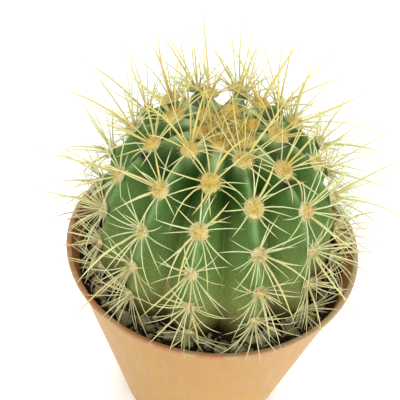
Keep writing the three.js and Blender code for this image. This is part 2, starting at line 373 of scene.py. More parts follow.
class Effects:
    """Builds each shared effect once and places it in a material."""

    def __init__(self) -> None:
        """Make the three groups."""
        self.groups = {
            Effect.MOTTLE: self._mottle(),
            Effect.SPECKLE: self._speckle(),
            Effect.RELIEF: self._relief(),
        }

    @staticmethod
    def _group(effect: Effect, inputs: dict[str, float], output: str) -> tuple[Sheet, dict, Socket]:
        """Start a group with a Point input, some numbers and one output.

        Args:
            effect: The effect that it is for.
            inputs: The numbers' names and first values.
            output: The output's name.

        Returns:
            The group's tree, what comes into it, and where its output goes.
        """
        tree = bpy.data.node_groups.new(effect.value, "ShaderNodeTree")
        tree.interface.new_socket("Point", in_out="INPUT", socket_type="NodeSocketVector")
        for name, value in inputs.items():
            made = tree.interface.new_socket(name, in_out="INPUT", socket_type="NodeSocketFloat")
            made.default_value = value
        tree.interface.new_socket(output, in_out="OUTPUT", socket_type="NodeSocketFloat")
        sheet = Sheet(tree)
        entry = tree.nodes.new("NodeGroupInput")
        leave = tree.nodes.new("NodeGroupOutput")
        return sheet, entry.outputs, leave.inputs[output]

    def _mottle(self) -> bpy.types.NodeTree:
        """Soft blotches from 0 to 1, with a chosen contrast.

        Returns:
            The group.
        """
        sheet, entry, leave = self._group(Effect.MOTTLE, {"Scale": 100.0, "Contrast": 1.0}, "Mask")
        cloud = sheet.add("TexNoise")
        cloud.inputs["Detail"].default_value = 5.0
        cloud.inputs["Roughness"].default_value = 0.6
        sheet.join(entry["Point"], cloud.inputs["Vector"])
        sheet.join(entry["Scale"], cloud.inputs["Scale"])
        centred = sheet.math("SUBTRACT", cloud.outputs["Fac"], NOISE_MIDDLE)
        spread = sheet.times(centred, entry["Contrast"])
        node = sheet.add("Math", operation="ADD", use_clamp=True)
        sheet.join(spread, node.inputs[0])
        node.inputs[1].default_value = NOISE_MIDDLE
        sheet.join(node.outputs[0], leave)
        return sheet.tree

    def _speckle(self) -> bpy.types.NodeTree:
        """Small round dots, 1 at their middle.

        Returns:
            The group.
        """
        sheet, entry, leave = self._group(Effect.SPECKLE, {"Scale": 1000.0, "Size": 0.3}, "Mask")
        cells = sheet.add("TexVoronoi", feature="F1")
        sheet.join(entry["Point"], cells.inputs["Vector"])
        sheet.join(entry["Scale"], cells.inputs["Scale"])
        share = sheet.math("DIVIDE", cells.outputs["Distance"], entry["Size"])
        node = sheet.add("Math", operation="SUBTRACT", use_clamp=True)
        node.inputs[0].default_value = 1.0
        sheet.join(share, node.inputs[1])
        sheet.join(node.outputs[0], leave)
        return sheet.tree

    def _relief(self) -> bpy.types.NodeTree:
        """A height from coarse and fine grain.

        Returns:
            The group.
        """
        inputs = {"Coarse": 300.0, "Fine": 2000.0, "Fine share": 0.5}
        sheet, entry, leave = self._group(Effect.RELIEF, inputs, "Height")
        for name in ("Coarse", "Fine"):
            grain = sheet.add("TexNoise", name=name)
            grain.inputs["Detail"].default_value = 3.0
            sheet.join(entry["Point"], grain.inputs["Vector"])
            sheet.join(entry[name], grain.inputs["Scale"])
        nodes = sheet.tree.nodes
        fine = sheet.times(nodes["Fine"].outputs["Fac"], entry["Fine share"])
        sheet.join(sheet.math("ADD", nodes["Coarse"].outputs["Fac"], fine), leave)
        return sheet.tree

    def use(self, sheet: Sheet, effect: Effect, point: Socket, **values: float) -> Socket:
        """Place an effect in a material.

        Args:
            sheet: The material's tree.
            effect: Which effect.
            point: Where its pattern is read.
            values: The group's own numbers, with _ for a space.

        Returns:
            The group's output.
        """
        node = sheet.tree.nodes.new("ShaderNodeGroup")
        node.node_tree = self.groups[effect]
        sheet.join(point, node.inputs["Point"])
        for name, value in values.items():
            node.inputs[name.replace("_", " ")].default_value = value
        return node.outputs[0]


@dataclass(frozen=True)
class Finish:
    """What finishes share: roughness, a bump, and how far light gets in where it does."""

    effects: Effects
    roughness: float = 0.5
    specular: float = 0.25
    bump: float = 0.3
    bump_depth: float = 0.0003
    gloss_ends: Range = (0.2, 0.8)
    light_weight: float = 0.4
    light_spread: Colour = (1.0, 0.8, 0.4)
    light_depth: float = 0.001

    def start(self, name: str) -> tuple[bpy.types.Material, Sheet, bpy.types.Node]:
        """Make a material with its shader.

        Args:
            name: The material's name.

        Returns:
            The material, its tree and its shader node.
        """
        material = bpy.data.materials.new(name)
        material.use_nodes = True
        sheet = Sheet(material.node_tree)
        shader = material.node_tree.nodes["Principled BSDF"]
        shader.inputs["Roughness"].default_value = self.roughness
        shader.inputs["Specular IOR Level"].default_value = self.specular
        return material, sheet, shader

    def let_light_in(self, shader: bpy.types.Node) -> None:
        """Let light a little way into the surface.

        Args:
            shader: The material's shader node.
        """
        shader.inputs["Subsurface Weight"].default_value = self.light_weight
        shader.inputs["Subsurface Radius"].default_value = self.light_spread
        shader.inputs["Subsurface Scale"].default_value = self.light_depth

    def raise_surface(self, sheet: Sheet, shader: bpy.types.Node, height: Socket) -> None:
        """Join a height to the shader through a bump.

        Args:
            sheet: The material's tree.
            shader: Its shader node.
            height: The height.
        """
        bump = sheet.add("Bump")
        bump.inputs["Strength"].default_value = self.bump
        bump.inputs["Distance"].default_value = self.bump_depth
        sheet.join(height, bump.inputs["Height"])
        sheet.join(bump.outputs["Normal"], shader.inputs["Normal"])


@dataclass(frozen=True)
class SkinFinish(Finish):
    """The waxy skin: pale along the crests as painted highlight, dark in the furrows as painted shade,
    yellower and corky below, with painted shade at the base and painted shadow under the upper areoles.
    """

    roughness: float = 0.55
    roughness_limits: Range = (0.49, 0.67)
    specular: float = 0.12
    bump: float = 0.25
    # Painted highlight on the ridge, through to painted shade on the flanks and in the furrow.
    ridge_highlight: Colour = srgb(116, 147, 92)
    crest: Colour = srgb(88, 120, 60)
    shoulder: Colour = srgb(56, 89, 27)
    flank: Colour = srgb(38, 69, 8)
    furrow: Colour = srgb(30, 54, 6)
    # Lighter green that the painted shade on the flanks and in the furrows eases to lower down.
    eased_shade: Colour = srgb(86, 110, 50)
    bloom: Colour = srgb(94, 128, 70)
    young: Colour = srgb(166, 188, 130)
    old: Colour = srgb(110, 119, 58)
    cork: Colour = srgb(148, 128, 84)
    # Painted shade at the stem's base near the soil.
    contact_shade: Colour = srgb(66, 58, 26)
    # Painted shadow under the upper areoles.
    pad_shadow: Colour = srgb(30, 24, 16)
    fleck: Colour = srgb(160, 176, 122)
    crest_wander: float = 0.09
    eased_shade_down: Range = (0.24, 0.46)
    eased_shade_across: Range = (0.1, 0.6)
    eased_shade_weights: Range = (0.35, 0.95)
    blooms_across: Range = (0.95, 0.6)
    bloom_weights: Range = (0.0, 0.5)
    blooms_down: Range = (0.2, 0.5)
    bloom_down_weights: Range = (0.12, 1.0)
    young_down: Range = (0.24, 0.11)
    young_across: Range = (0.8, 0.2)
    young_weights: Range = (0.1, 0.95)
    old_down: Range = (0.42, 0.76)
    old_blotches: Range = (0.1, 0.8)
    old_weights: Range = (0.45, 0.9)
    flecks_down: Range = (0.25, 0.7)
    fleck_weights: Range = (0.15, 0.6)
    scars_down: Range = (0.6, 0.8)
    scar_grain: Range = (0.42, 0.7)
    seams_across: Range = (0.8, 0.96)
    seams_down: Range = (0.44, 0.56)
    seam_blotches: Range = (0.6, 0.72)
    cork_weight: float = 0.8
    contact_shade_down: Range = (0.66, 0.82)
    contact_shade_down_weights: Range = (0.0, 0.85)
    contact_shade_across: Range = (0.0, 0.7)
    contact_shade_weights: Range = (0.55, 1.0)

    def build(self) -> bpy.types.Material:
        """Make the material.

        Returns:
            The material.
        """
        material, sheet, shader = self.start("cactus_skin")
        point = sheet.place()
        blotches = self.effects.use(sheet, Effect.MOTTLE, point, Scale=130.0, Contrast=1.8)
        grain = self.effects.use(sheet, Effect.MOTTLE, point, Scale=700.0, Contrast=1.6)
        across = sheet.attribute("across")
        wander = sheet.times(sheet.math("SUBTRACT", grain, NOISE_MIDDLE), self.crest_wander)
        across = sheet.math("ADD", across, wander)
        down = sheet.attribute("down")
        tone = self._green(sheet, across, down, blotches)
        tone = self._age(sheet, tone, (across, down), (blotches, grain))
        # Painted shadow just below the upper areoles.
        tone = sheet.mix(sheet.attribute("pad_shadow"), tone, self.pad_shadow)
        sheet.join(tone, shader.inputs["Base Color"])
        gloss = sheet.span(grain, self.gloss_ends, self.roughness_limits)
        sheet.join(gloss, shader.inputs["Roughness"])
        relief = self.effects.use(sheet, Effect.RELIEF, point, Coarse=420.0, Fine=2600.0, Fine_share=0.5)
        self.raise_surface(sheet, shader, relief)
        return material

    def _green(self, sheet: Sheet, across: Socket, down: Socket, blotches: Socket) -> Socket:
        """Colour the living skin.

        Args:
            sheet: The material's tree.
            across: The place across the rib, 0 on its crest.
            down: The place down the rib, 0 at the crown.
            blotches: The coarse blotches.

        Returns:
            The colour.
        """
        # Painted highlight on the crest and painted shade on the flanks and in the furrow, set by the place
        # across the rib.
        tone = sheet.ramp(across, [
            (0.0, self.ridge_highlight), (0.05, self.ridge_highlight), (0.13, self.crest), (0.27, self.shoulder),
            (0.52, self.flank), (0.9, self.flank), (1.0, self.furrow),
        ])
        # Lower down, the painted shade on the flanks and in the furrows eases to a lighter green.
        fading = sheet.span(across, self.eased_shade_across, self.eased_shade_weights)
        tone = sheet.mix(sheet.times(sheet.span(down, self.eased_shade_down), fading), tone, self.eased_shade)
        bloom = sheet.times(blotches, sheet.span(across, self.blooms_across, self.bloom_weights))
        bloom = sheet.times(bloom, sheet.span(down, self.blooms_down, self.bloom_down_weights))
        tone = sheet.mix(bloom, tone, self.bloom)
        youth = sheet.span(across, self.young_across, self.young_weights)
        return sheet.mix(sheet.times(sheet.span(down, self.young_down), youth), tone, self.young)

    def _age(self, sheet: Sheet, tone: Socket, place: Sockets, noises: Sockets) -> Socket:
        """Lay age, flecks, cork and painted shade near the soil over the skin.

        Args:
            sheet: The material's tree.
            tone: The colour so far.
            place: The places across and down the rib.
            noises: The coarse blotches and the fine grain.

        Returns:
            The colour.
        """
        across, down = place
        blotches, grain = noises
        age = sheet.span(blotches, self.old_blotches, self.old_weights)
        tone = sheet.mix(sheet.times(sheet.span(down, self.old_down), age), tone, self.old)
        flecks = self.effects.use(sheet, Effect.SPECKLE, sheet.place(), Scale=1100.0, Size=0.33)
        flecks = sheet.times(flecks, sheet.span(down, self.flecks_down, self.fleck_weights))
        tone = sheet.mix(flecks, tone, self.fleck)
        scar = sheet.times(sheet.span(down, self.scars_down), sheet.span(grain, self.scar_grain))
        seam = sheet.times(sheet.span(across, self.seams_across), sheet.span(down, self.seams_down))
        seam = sheet.times(seam, sheet.span(blotches, self.seam_blotches))
        cork = sheet.times(sheet.math("MAXIMUM", scar, seam), self.cork_weight)
        tone = sheet.mix(cork, tone, self.cork)
        # Painted shade darkens the skin near the soil, most in the furrows.
        contact_mask = sheet.span(across, self.contact_shade_across, self.contact_shade_weights)
        contact_mask = sheet.times(sheet.span(down, self.contact_shade_down, self.contact_shade_down_weights), contact_mask)
        return sheet.mix(contact_mask, tone, self.contact_shade)


@dataclass(frozen=True)
class SpineFinish(Finish):
    """Straw to golden spines, darker at the foot and paler along their length."""

    roughness: float = 0.42
    bump: float = 0.15
    straw_foot: Colour = srgb(188, 182, 126)
    straw: Colour = srgb(194, 204, 160)
    straw_tip: Colour = srgb(190, 190, 142)
    gold_foot: Colour = srgb(186, 154, 72)
    gold: Colour = srgb(196, 186, 108)
    gold_tip: Colour = srgb(190, 182, 116)
    dry: Colour = srgb(186, 168, 120)
    blush: Colour = srgb(200, 150, 86)
    blush_weight: float = 0.3

    def build(self) -> bpy.types.Material:
        """Make the material.

        Returns:
            The material.
        """
        material, sheet, shader = self.start("cactus_spine")
        point = sheet.place()
        along = sheet.attribute("along")
        golden = sheet.attribute("gold")
        straw = sheet.ramp(along, [
            (0.0, self.straw_foot), (0.25, self.straw), (0.8, self.straw), (1.0, self.straw_tip),
        ])
        straw = sheet.mix(sheet.attribute("dry"), straw, self.dry)
        gold = sheet.ramp(along, [
            (0.0, self.gold_foot), (0.3, self.gold), (0.75, self.gold), (1.0, self.gold_tip),
        ])
        tone = sheet.mix(golden, straw, gold)
        streak = self.effects.use(sheet, Effect.MOTTLE, point, Scale=120.0, Contrast=3.0)
        streak = sheet.times(sheet.times(streak, golden), self.blush_weight)
        tone = sheet.mix(streak, tone, self.blush)
        sheet.join(tone, shader.inputs["Base Color"])
        self.let_light_in(shader)
        grain = self.effects.use(sheet, Effect.RELIEF, point, Coarse=900.0, Fine=4000.0, Fine_share=0.4)
        self.raise_surface(sheet, shader, grain)
        return material


@dataclass(frozen=True)
class WoolFinish(Finish):
    """Felted wool: a paler rim round a tan to pinkish middle, golden on young areoles."""

    roughness: float = 0.95
    specular: float = 0.05
    bump: float = 0.6
    amber: Colour = srgb(212, 180, 80)
    golden: Colour = srgb(204, 180, 92)
    tan: Colour = srgb(196, 176, 110)
    rose: Colour = srgb(202, 186, 148)
    cream: Colour = srgb(206, 202, 152)
    shade: Colour = srgb(184, 150, 80)
    shade_weight: float = 0.5
    sheen: float = 0.1
    rim_reach: Range = (0.45, 1.0)
    rim_weights: Range = (0.0, 0.8)
    rim_ages: Range = (0.05, 0.4)
    rim_age_weights: Range = (0.25, 1.0)

    def build(self) -> bpy.types.Material:
        """Make the material.

        Returns:
            The material.
        """
        material, sheet, shader = self.start("areole_wool")
        point = sheet.place()
        tone = sheet.ramp(sheet.attribute("tone"), [
            (0.0, self.amber), (0.15, self.golden), (0.55, self.tan), (1.0, self.rose),
        ])
        clumps = self.effects.use(sheet, Effect.MOTTLE, point, Scale=1100.0, Contrast=2.6)
        tone = sheet.mix(sheet.times(clumps, self.shade_weight), tone, self.shade)
        rim = sheet.span(sheet.attribute("rim"), self.rim_reach, self.rim_weights)
        rim = sheet.times(rim, sheet.span(sheet.attribute("tone"), self.rim_ages, self.rim_age_weights))
        tone = sheet.mix(rim, tone, self.cream)
        sheet.join(tone, shader.inputs["Base Color"])
        shader.inputs["Sheen Weight"].default_value = self.sheen
        fuzz = self.effects.use(sheet, Effect.RELIEF, point, Coarse=1800.0, Fine=5200.0, Fine_share=0.8)
        self.raise_surface(sheet, shader, fuzz)
        return material


@dataclass(frozen=True)
class PlasticFinish(Finish):
    """Thin terracotta-coloured plastic, paler and yellower in soft clouds of painted glow from light through
    the thin wall, with moulding streaks painted paler as highlight and painted light on the lip's right side.
    """

    roughness: float = 0.45
    roughness_limits: Range = (0.4, 0.57)
    bump: float = 0.12
    light_weight: float = 0.35
    light_spread: Colour = (1.0, 0.7, 0.45)
    light_depth: float = 0.003
    lip: Colour = srgb(158, 113, 77)
    wall: Colour = srgb(168, 127, 64)
    glow: Colour = srgb(180, 137, 77)
    inside: Colour = srgb(130, 114, 86)
    soil_mark: Colour = srgb(92, 68, 42)
    # Pale lip colour: painted light on the lip's right side, and real wear in patches.
    wear_and_side_light: Colour = srgb(160, 142, 108)
    chalk: Colour = srgb(186, 164, 128)
    # Paler colour of the moulding streaks, painted as highlight.
    streak: Colour = srgb(188, 148, 90)
    lip_bottom: Range = (0.0715, 0.073)
    glow_weight: float = 0.4
    streak_stretch: float = 0.05
    streak_ends: Range = (0.4, 1.0)
    streak_weights: Range = (0.0, 0.4)
    lit_side: Range = (0.005, 0.04)
    lit_side_clouds: Range = (0.1, 0.6)
    lit_side_weights: Range = (0.6, 1.0)
    patch_ends: Range = (0.5, 0.75)
    patch_weights: Range = (0.0, 0.6)
    splash_reach: Range = (0.012, 0.0)
    dirt_ends: Range = (0.4, 0.75)
    dirt_weight: float = 0.8

    def build(self) -> bpy.types.Material:
        """Make the material.

        Returns:
            The material.
        """
        material, sheet, shader = self.start("pot_plastic")
        point = sheet.place()
        split = sheet.add("SeparateXYZ")
        sheet.join(point, split.inputs["Vector"])
        cloud = self.effects.use(sheet, Effect.MOTTLE, point, Scale=45.0, Contrast=1.2)
        # Painted glow of light through the thin wall, as paler, yellower clouds.
        tone = sheet.mix(sheet.times(cloud, self.glow_weight), self.wall, self.glow)
        # Faint vertical moulding streaks, painted paler as highlight.
        drawn = sheet.add("Mapping")
        sheet.join(point, drawn.inputs["Vector"])
        drawn.inputs["Scale"].default_value = (1.0, 1.0, self.streak_stretch)
        streaks = self.effects.use(sheet, Effect.MOTTLE, drawn.outputs["Vector"], Scale=190.0, Contrast=1.8)
        tone = sheet.mix(sheet.span(streaks, self.streak_ends, self.streak_weights), tone, self.streak)
        # Painted light on the lip's right side, in clouds, and real worn patches anywhere on the lip.
        wear_and_side_light = sheet.span(cloud, self.lit_side_clouds, self.lit_side_weights)
        wear_and_side_light = sheet.times(sheet.span(split.outputs["X"], self.lit_side), wear_and_side_light)
        patches = self.effects.use(sheet, Effect.MOTTLE, point, Scale=110.0, Contrast=2.4)
        wear_and_side_light = sheet.math("MAXIMUM", wear_and_side_light, sheet.span(patches, self.patch_ends, self.patch_weights))
        lip = sheet.mix(wear_and_side_light, self.lip, self.wear_and_side_light)
        splashed = sheet.times(sheet.span(split.outputs["Z"], self.splash_reach), patches)
        tone = sheet.mix(sheet.times(splashed, self.dirt_weight), tone, self.chalk)
        tone = sheet.mix(sheet.span(split.outputs["Z"], self.lip_bottom), tone, lip)
        tone = sheet.mix(sheet.attribute("inner"), tone, self.inside)
        dust = self.effects.use(sheet, Effect.MOTTLE, point, Scale=420.0, Contrast=2.6)
        dusty = sheet.times(sheet.attribute("inner"), sheet.span(dust, self.dirt_ends))
        tone = sheet.mix(sheet.times(dusty, self.dirt_weight), tone, self.soil_mark)
        sheet.join(tone, shader.inputs["Base Color"])
        self.let_light_in(shader)
        scuffs = sheet.span(streaks, self.gloss_ends, self.roughness_limits)
        sheet.join(scuffs, shader.inputs["Roughness"])
        grain = self.effects.use(sheet, Effect.RELIEF, point, Coarse=160.0, Fine=2400.0, Fine_share=0.3)
        self.raise_surface(sheet, shader, grain)
        return material


@dataclass(frozen=True)
class StoneFinish(Finish):
    """Grey-beige pumice with small pits, darkened as painted shade."""

    roughness: float = 0.9
    specular: float = 0.1
    bump: float = 0.8
    pale: Colour = srgb(200, 192, 152)
    grey: Colour = srgb(134, 124, 94)
    dark: Colour = srgb(62, 52, 34)
    stain: Colour = srgb(84, 72, 48)
    pit_shade: Colour = srgb(40, 32, 20)
    stain_weight: float = 0.6
    pit_shade_weight: float = 0.7

    def build(self) -> bpy.types.Material:
        """Make the material.

        Returns:
            The material.
        """
        material, sheet, shader = self.start("pumice")
        point = sheet.place()
        tone = sheet.ramp(sheet.attribute("tone"), [(0.0, self.dark), (0.45, self.grey), (1.0, self.pale)])
        veins = self.effects.use(sheet, Effect.MOTTLE, point, Scale=650.0, Contrast=2.6)
        tone = sheet.mix(sheet.times(veins, self.stain_weight), tone, self.stain)
        # Painted shade darkens the small pits.
        pits = self.effects.use(sheet, Effect.SPECKLE, point, Scale=1700.0, Size=0.42)
        tone = sheet.mix(sheet.times(pits, self.pit_shade_weight), tone, self.pit_shade)
        sheet.join(tone, shader.inputs["Base Color"])
        grain = self.effects.use(sheet, Effect.RELIEF, point, Coarse=700.0, Fine=2600.0, Fine_share=0.6)
        self.raise_surface(sheet, shader, sheet.math("SUBTRACT", grain, pits))
        return material


@dataclass(frozen=True)
class EarthFinish(Finish):
    """Dark potting mix."""

    roughness: float = 0.95
    specular: float = 0.1
    bump: float = 0.9
    bump_depth: float = 0.0006
    peat: Colour = srgb(22, 16, 9)
    loam: Colour = srgb(58, 46, 28)
    grain: Colour = srgb(126, 114, 80)
    grain_weight: float = 0.6

    def build(self) -> bpy.types.Material:
        """Make the material.

        Returns:
            The material.
        """
        material, sheet, shader = self.start("potting_mix")
        point = sheet.place()
        crumbs = self.effects.use(sheet, Effect.MOTTLE, point, Scale=900.0, Contrast=2.6)
        tone = sheet.mix(crumbs, self.peat, self.loam)
        grit = self.effects.use(sheet, Effect.SPECKLE, point, Scale=1500.0, Size=0.25)
        tone = sheet.mix(sheet.times(grit, self.grain_weight), tone, self.grain)
        sheet.join(tone, shader.inputs["Base Color"])
        relief = self.effects.use(sheet, Effect.RELIEF, point, Coarse=800.0, Fine=3000.0, Fine_share=0.6)
        self.raise_surface(sheet, shader, relief)
        return material


# --- Stem ---


class WoolDraw(IntEnum):
    """What is drawn for an areole's wool, and for the painted shadow below it."""

    SIZE = 1
    PATTERN = 2
    SHADE = 3
    PAD_SHADOW = 4


class SpineDraw(IntEnum):
    """What is drawn for a spine, beside its direction and length."""

    THICKNESS = 0
    GOLD = 1
    BOW = 2
    SIDE_BOW = 3
    DRY = 4
    DROOP = 5


class PlaceDraw(IntEnum):
    """What is drawn to place a spine. The radials and centrals share theirs with the solid."""

    RADIAL_TURN = 1
    RADIAL_LEAN = 2
    RADIAL_LENGTH = 3
    CENTRAL_TURN = 4
    CENTRAL_LEAN = 5
    CENTRAL_LENGTH = 6
    FINE_TURN = 11
    FINE_STRAY = 12
    FINE_LEAN = 13
    FINE_LENGTH = 14
    SLIM_TURN = 16
    SLIM_LEAN = 17
    SLIM_LENGTH = 18


class StoneDraw(IntEnum):
    """What is drawn for a stone."""

    SIZE = 1
    TUMBLE = 2
    NARROWNESS = 4
    HEADING = 5
    REACH = 6
    AZIMUTH = 8
    PATTERN = 9
    TONE = 10


WOOL_SALT = 31
SPINE_SALT = 20
STONE_SALT = 7


@dataclass
class Crest:
    """The crest of a rib as a curve from the crown down to the buried underside, in millimetres."""

    waist: float = 79.5
    radius: float = 38.5
    rise: float = 46.0
    drop: float = 30.0
    squareness: float = 2.5
    dimple: float = 5.5
    dimple_width: float = 9.0
    samples: int = 4000
    normal_reach: float = 0.9
    points: list[Vector] = field(default_factory=list)
    travelled: list[float] = field(default_factory=list)

    def __post_init__(self) -> None:
        """Sample the curve and the distance along it."""
        for i in range(self.samples + 1):
            self.points.append(self._at(math.pi * (0.5 - i / self.samples)))
        total = 0.0
        for i, point in enumerate(self.points):
            total += (point - self.points[max(i - 1, 0)]).length
            self.travelled.append(total)

    @property
    def length(self) -> float:
        """The whole length of the curve."""
        return self.travelled[-1]

    def _at(self, angle: float) -> Vector:
        """Give radius and height at an angle of the superellipse, 90 degrees at the crown.

        Args:
            angle: The angle in radians.

        Returns:
            Radius and height.
        """
        power = 2 / self.squareness
        r = self.radius * max(math.cos(angle), 0.0) ** power
        up = abs(math.sin(angle)) ** power
        side = self.rise * up if angle >= 0 else -self.drop * up
        dip = self.dimple * math.exp(-((r / self.dimple_width) ** 2)) if angle > 0 else 0.0
        return Vector((r, self.waist + side - dip))

    def point(self, distance: float) -> Vector:
        """Give radius and height at a distance along the curve.

        Args:
            distance: The distance along the crest.

        Returns:
            Radius and height.
        """
        d = min(max(distance, 0.0), self.length)
        i = min(max(bisect.bisect_left(self.travelled, d), 1), self.samples)
        low, high = self.travelled[i - 1], self.travelled[i]
        share = (d - low) / (high - low) if high > low else 0.0
        return self.points[i - 1].lerp(self.points[i], share)

    def normal(self, distance: float) -> Vector:
        """Give the outward normal, as its radial and its upward part."""
        behind = self.point(distance - self.normal_reach)
        along = (self.point(distance + self.normal_reach) - behind).normalized()
        return Vector((-along.y, along.x))


@dataclass(frozen=True)
class Areole:
    """One areole: its rib, its number on the rib, its distance along the crest and its age."""

    rib: int
    index: int
    distance: float
    young: bool

    @property
    def key(self) -> int:
        """The number that its random draws start from."""
        return self.rib * 16 + self.index


@dataclass(frozen=True)
class Seat:
    """Where an areole sits, with its outward, downward and sideways directions."""

    spot: Vector
    outward: Vector
    downward: Vector
    sideways: Vector

    def matrix(self) -> Matrix:
        """Turn the areole's own frame, Z outward and Y up the rib, into the plant's.

        Returns:
            The matrix.
        """
        upward = -self.downward
        right = upward.cross(self.outward)
        turn = Matrix((right, upward, self.outward)).transposed().to_4x4()
        return Matrix.Translation(self.spot) @ turn


@dataclass
class Stem:
    """The ribbed stem. Its sizes and its surface are those of the solid, with finer rows."""

    crest: Crest = field(default_factory=Crest)
    ribs: int = 12
    first_rib: float = -8.7
    furrow: float = 11.0
    furrow_opens: Range = (8.0, 31.0)
    furrow_fades: Range = (44.0, 80.0)
    furrow_fading: float = 0.6
    furrow_ends: Range = (86.0, 93.0)
    rounding: float = 0.16
    crown_rounding: float = 0.6
    crown_rounds: Range = (12.0, 32.0)
    waist_rounding: float = 0.5
    waist_rounds: Range = (46.0, 80.0)
    wobble: float = 0.9
    wobble_length: float = 11.0
    wobble_shift: float = 2.1
    chin: float = 1.3
    chin_length: float = 3.8
    chin_width: float = 0.6
    first_rank: float = 16.5
    rank_step: float = 7.2
    rank_crowding: float = 0.04
    rows_of_areoles: int = 5
    young_distance: tuple[float, float] = (9.0, 5.0)
    columns_per_rib: int = 30
    rows: int = 132
    waviness: float = 0.35
    fine_waviness: float = 0.0875
    wave_length: float = 11.0
    fine_wave_length: float = 2.6
    waves_open: Range = (6.0, 20.0)
    # Where the painted shadow below the upper areoles lies, and how dark it is.
    pad_shadow_ends: float = 26.0
    pad_shadow_lowest: float = 36.0
    pad_shadow_reach: float = 0.5
    pad_shadow_below: float = 4.2
    pad_shadow_length: float = 1.6
    pad_shadow_width: float = 0.36
    pad_shadow_strength: Range = (0.36, 1.56)
    weld: float = 0.01

    def rank_distance(self, rank: float) -> float:
        """Give the distance of a rank of areoles along the crest."""
        return self.first_rank + rank * (self.rank_step - self.rank_crowding * rank)

    def areoles_of(self, rib: int) -> list[Areole]:
        """List the areoles of one rib from the crown down.

        Args:
            rib: The rib's number.

        Returns:
            Its areoles.
        """
        odd = rib % 2
        found = [Areole(rib, 0, self.young_distance[odd], True)]
        for row in range(self.rows_of_areoles):
            found.append(Areole(rib, row + 1, self.rank_distance(2 * row + 1 - odd), False))
        return found

    def areoles(self) -> list[Areole]:
        """List every areole."""
        return [areole for rib in range(self.ribs) for areole in self.areoles_of(rib)]

    def rib_azimuth(self, rib: int, distance: float) -> float:
        """Give a rib's azimuth in radians, with its slight wander."""
        wander = self.wobble * math.sin(distance / self.wobble_length + rib * self.wobble_shift)
        return math.radians(self.first_rib + rib * 360 / self.ribs + wander)

    def furrow_depth(self, distance: float) -> float:
        """Give the furrow's depth at a distance along the crest.

        Args:
            distance: The distance along the crest.

        Returns:
            The depth.
        """
        opening = smoothstep(*self.furrow_opens, distance)
        fading = 1 - self.furrow_fading * smoothstep(*self.furrow_fades, distance)
        buried = 1 - smoothstep(*self.furrow_ends, distance)
        return self.furrow * opening * fading * buried

    def flank(self, across: float, distance: float) -> float:
        """Give the share of the furrow's depth at a place across the rib.

        Args:
            across: The place across the rib, 0 on its crest and 1 in the furrow.
            distance: The distance along the crest.

        Returns:
            The share, from 0 on the crest to 1 in the furrow.
        """
        above = self.crown_rounding * (1 - smoothstep(*self.crown_rounds, distance))
        c = self.rounding + above + self.waist_rounding * smoothstep(*self.waist_rounds, distance)
        return (math.hypot(across, c) - c) / (math.hypot(1, c) - c)

    def swelling(self, rib: int, distance: float, across: float) -> float:
        """Give how far the crest swells under its areoles.

        Args:
            rib: The rib's number.
            distance: The distance along the crest.
            across: The place across the rib, 0 on its crest.

        Returns:
            How far the skin stands out.
        """
        narrow = max(0.0, 1 - across / self.chin_width) ** 2
        if narrow == 0:
            return 0.0
        swell = 0.0
        for areole in self.areoles_of(rib):
            if not areole.young:
                swell += math.exp(-(((distance - areole.distance) / self.chin_length) ** 2))
        return self.chin * swell * narrow

    def skin(self, rib: int, station: float, distance: float, grow: float = 0.0) -> Vector:
        """Give a point of the skin.

        Args:
            rib: The rib's number.
            station: The place across it, from -1 to 1.
            distance: The distance along the crest.
            grow: How far out of the skin the point lies.

        Returns:
            The point.
        """
        point = self.crest.point(distance)
        normal = self.crest.normal(distance)
        across = abs(station)
        neighbour = rib + (1 if station > 0 else -1)
        azimuth = lerp(self.rib_azimuth(rib, distance), self.rib_azimuth(neighbour, distance), across / 2)
        furrow = self.furrow_depth(distance) * self.flank(across, distance)
        shift = grow + self.swelling(rib, distance, across) - furrow
        r = max(point.x + shift * normal.x, 0.0)
        return on_meridian(azimuth, r, point.y + shift * normal.y)

    def seat(self, areole: Areole) -> Seat:
        """Find where an areole sits.

        Args:
            areole: The areole.

        Returns:
            Its place and directions.
        """
        azimuth = self.rib_azimuth(areole.rib, areole.distance)
        normal = self.crest.normal(areole.distance)
        spot = self.skin(areole.rib, 0, areole.distance)
        outward = on_meridian(azimuth, normal.x, normal.y).normalized()
        sideways = on_meridian(azimuth + math.pi / 2, 1, 0)
        downward = outward.cross(sideways).normalized()
        if downward.z > 0:
            downward.negate()
        return Seat(spot, outward, downward, sideways)

    def unevenness(self, place: Vector, distance: float) -> float:
        """Give the small swellings and hollows of the living skin.

        Args:
            place: The point of the even skin.
            distance: The distance along the crest.

        Returns:
            How far the skin stands out.
        """
        broad = noise.noise(place / self.wave_length) * self.waviness
        fine = noise.noise(place / self.fine_wave_length) * self.fine_waviness
        return (broad + fine) * smoothstep(*self.waves_open, distance)

    def pad_shadow(self, rib: int, station: float, distance: float) -> float:
        """Give how dark the painted shadow just below a young areole is.

        Args:
            rib: The rib's number.
            station: The place across it, from -1 to 1.
            distance: The distance along the crest.

        Returns:
            The darkness, from 0 to 1.
        """
        if abs(station) > self.pad_shadow_reach or distance > self.pad_shadow_lowest:
            return 0.0
        # Painted shadow: dark patches just below the areoles near the crown.
        dark = 0.0
        for areole in self.areoles_of(rib):
            if areole.distance < self.pad_shadow_ends:
                below = (distance - areole.distance - self.pad_shadow_below) / self.pad_shadow_length
                strength = pick(self.pad_shadow_strength, draw(areole.key, WoolDraw.PAD_SHADOW, WOOL_SALT))
                dark = max(dark, strength * math.exp(-(below**2) - (station / self.pad_shadow_width) ** 2))
        return min(dark, 1.0)

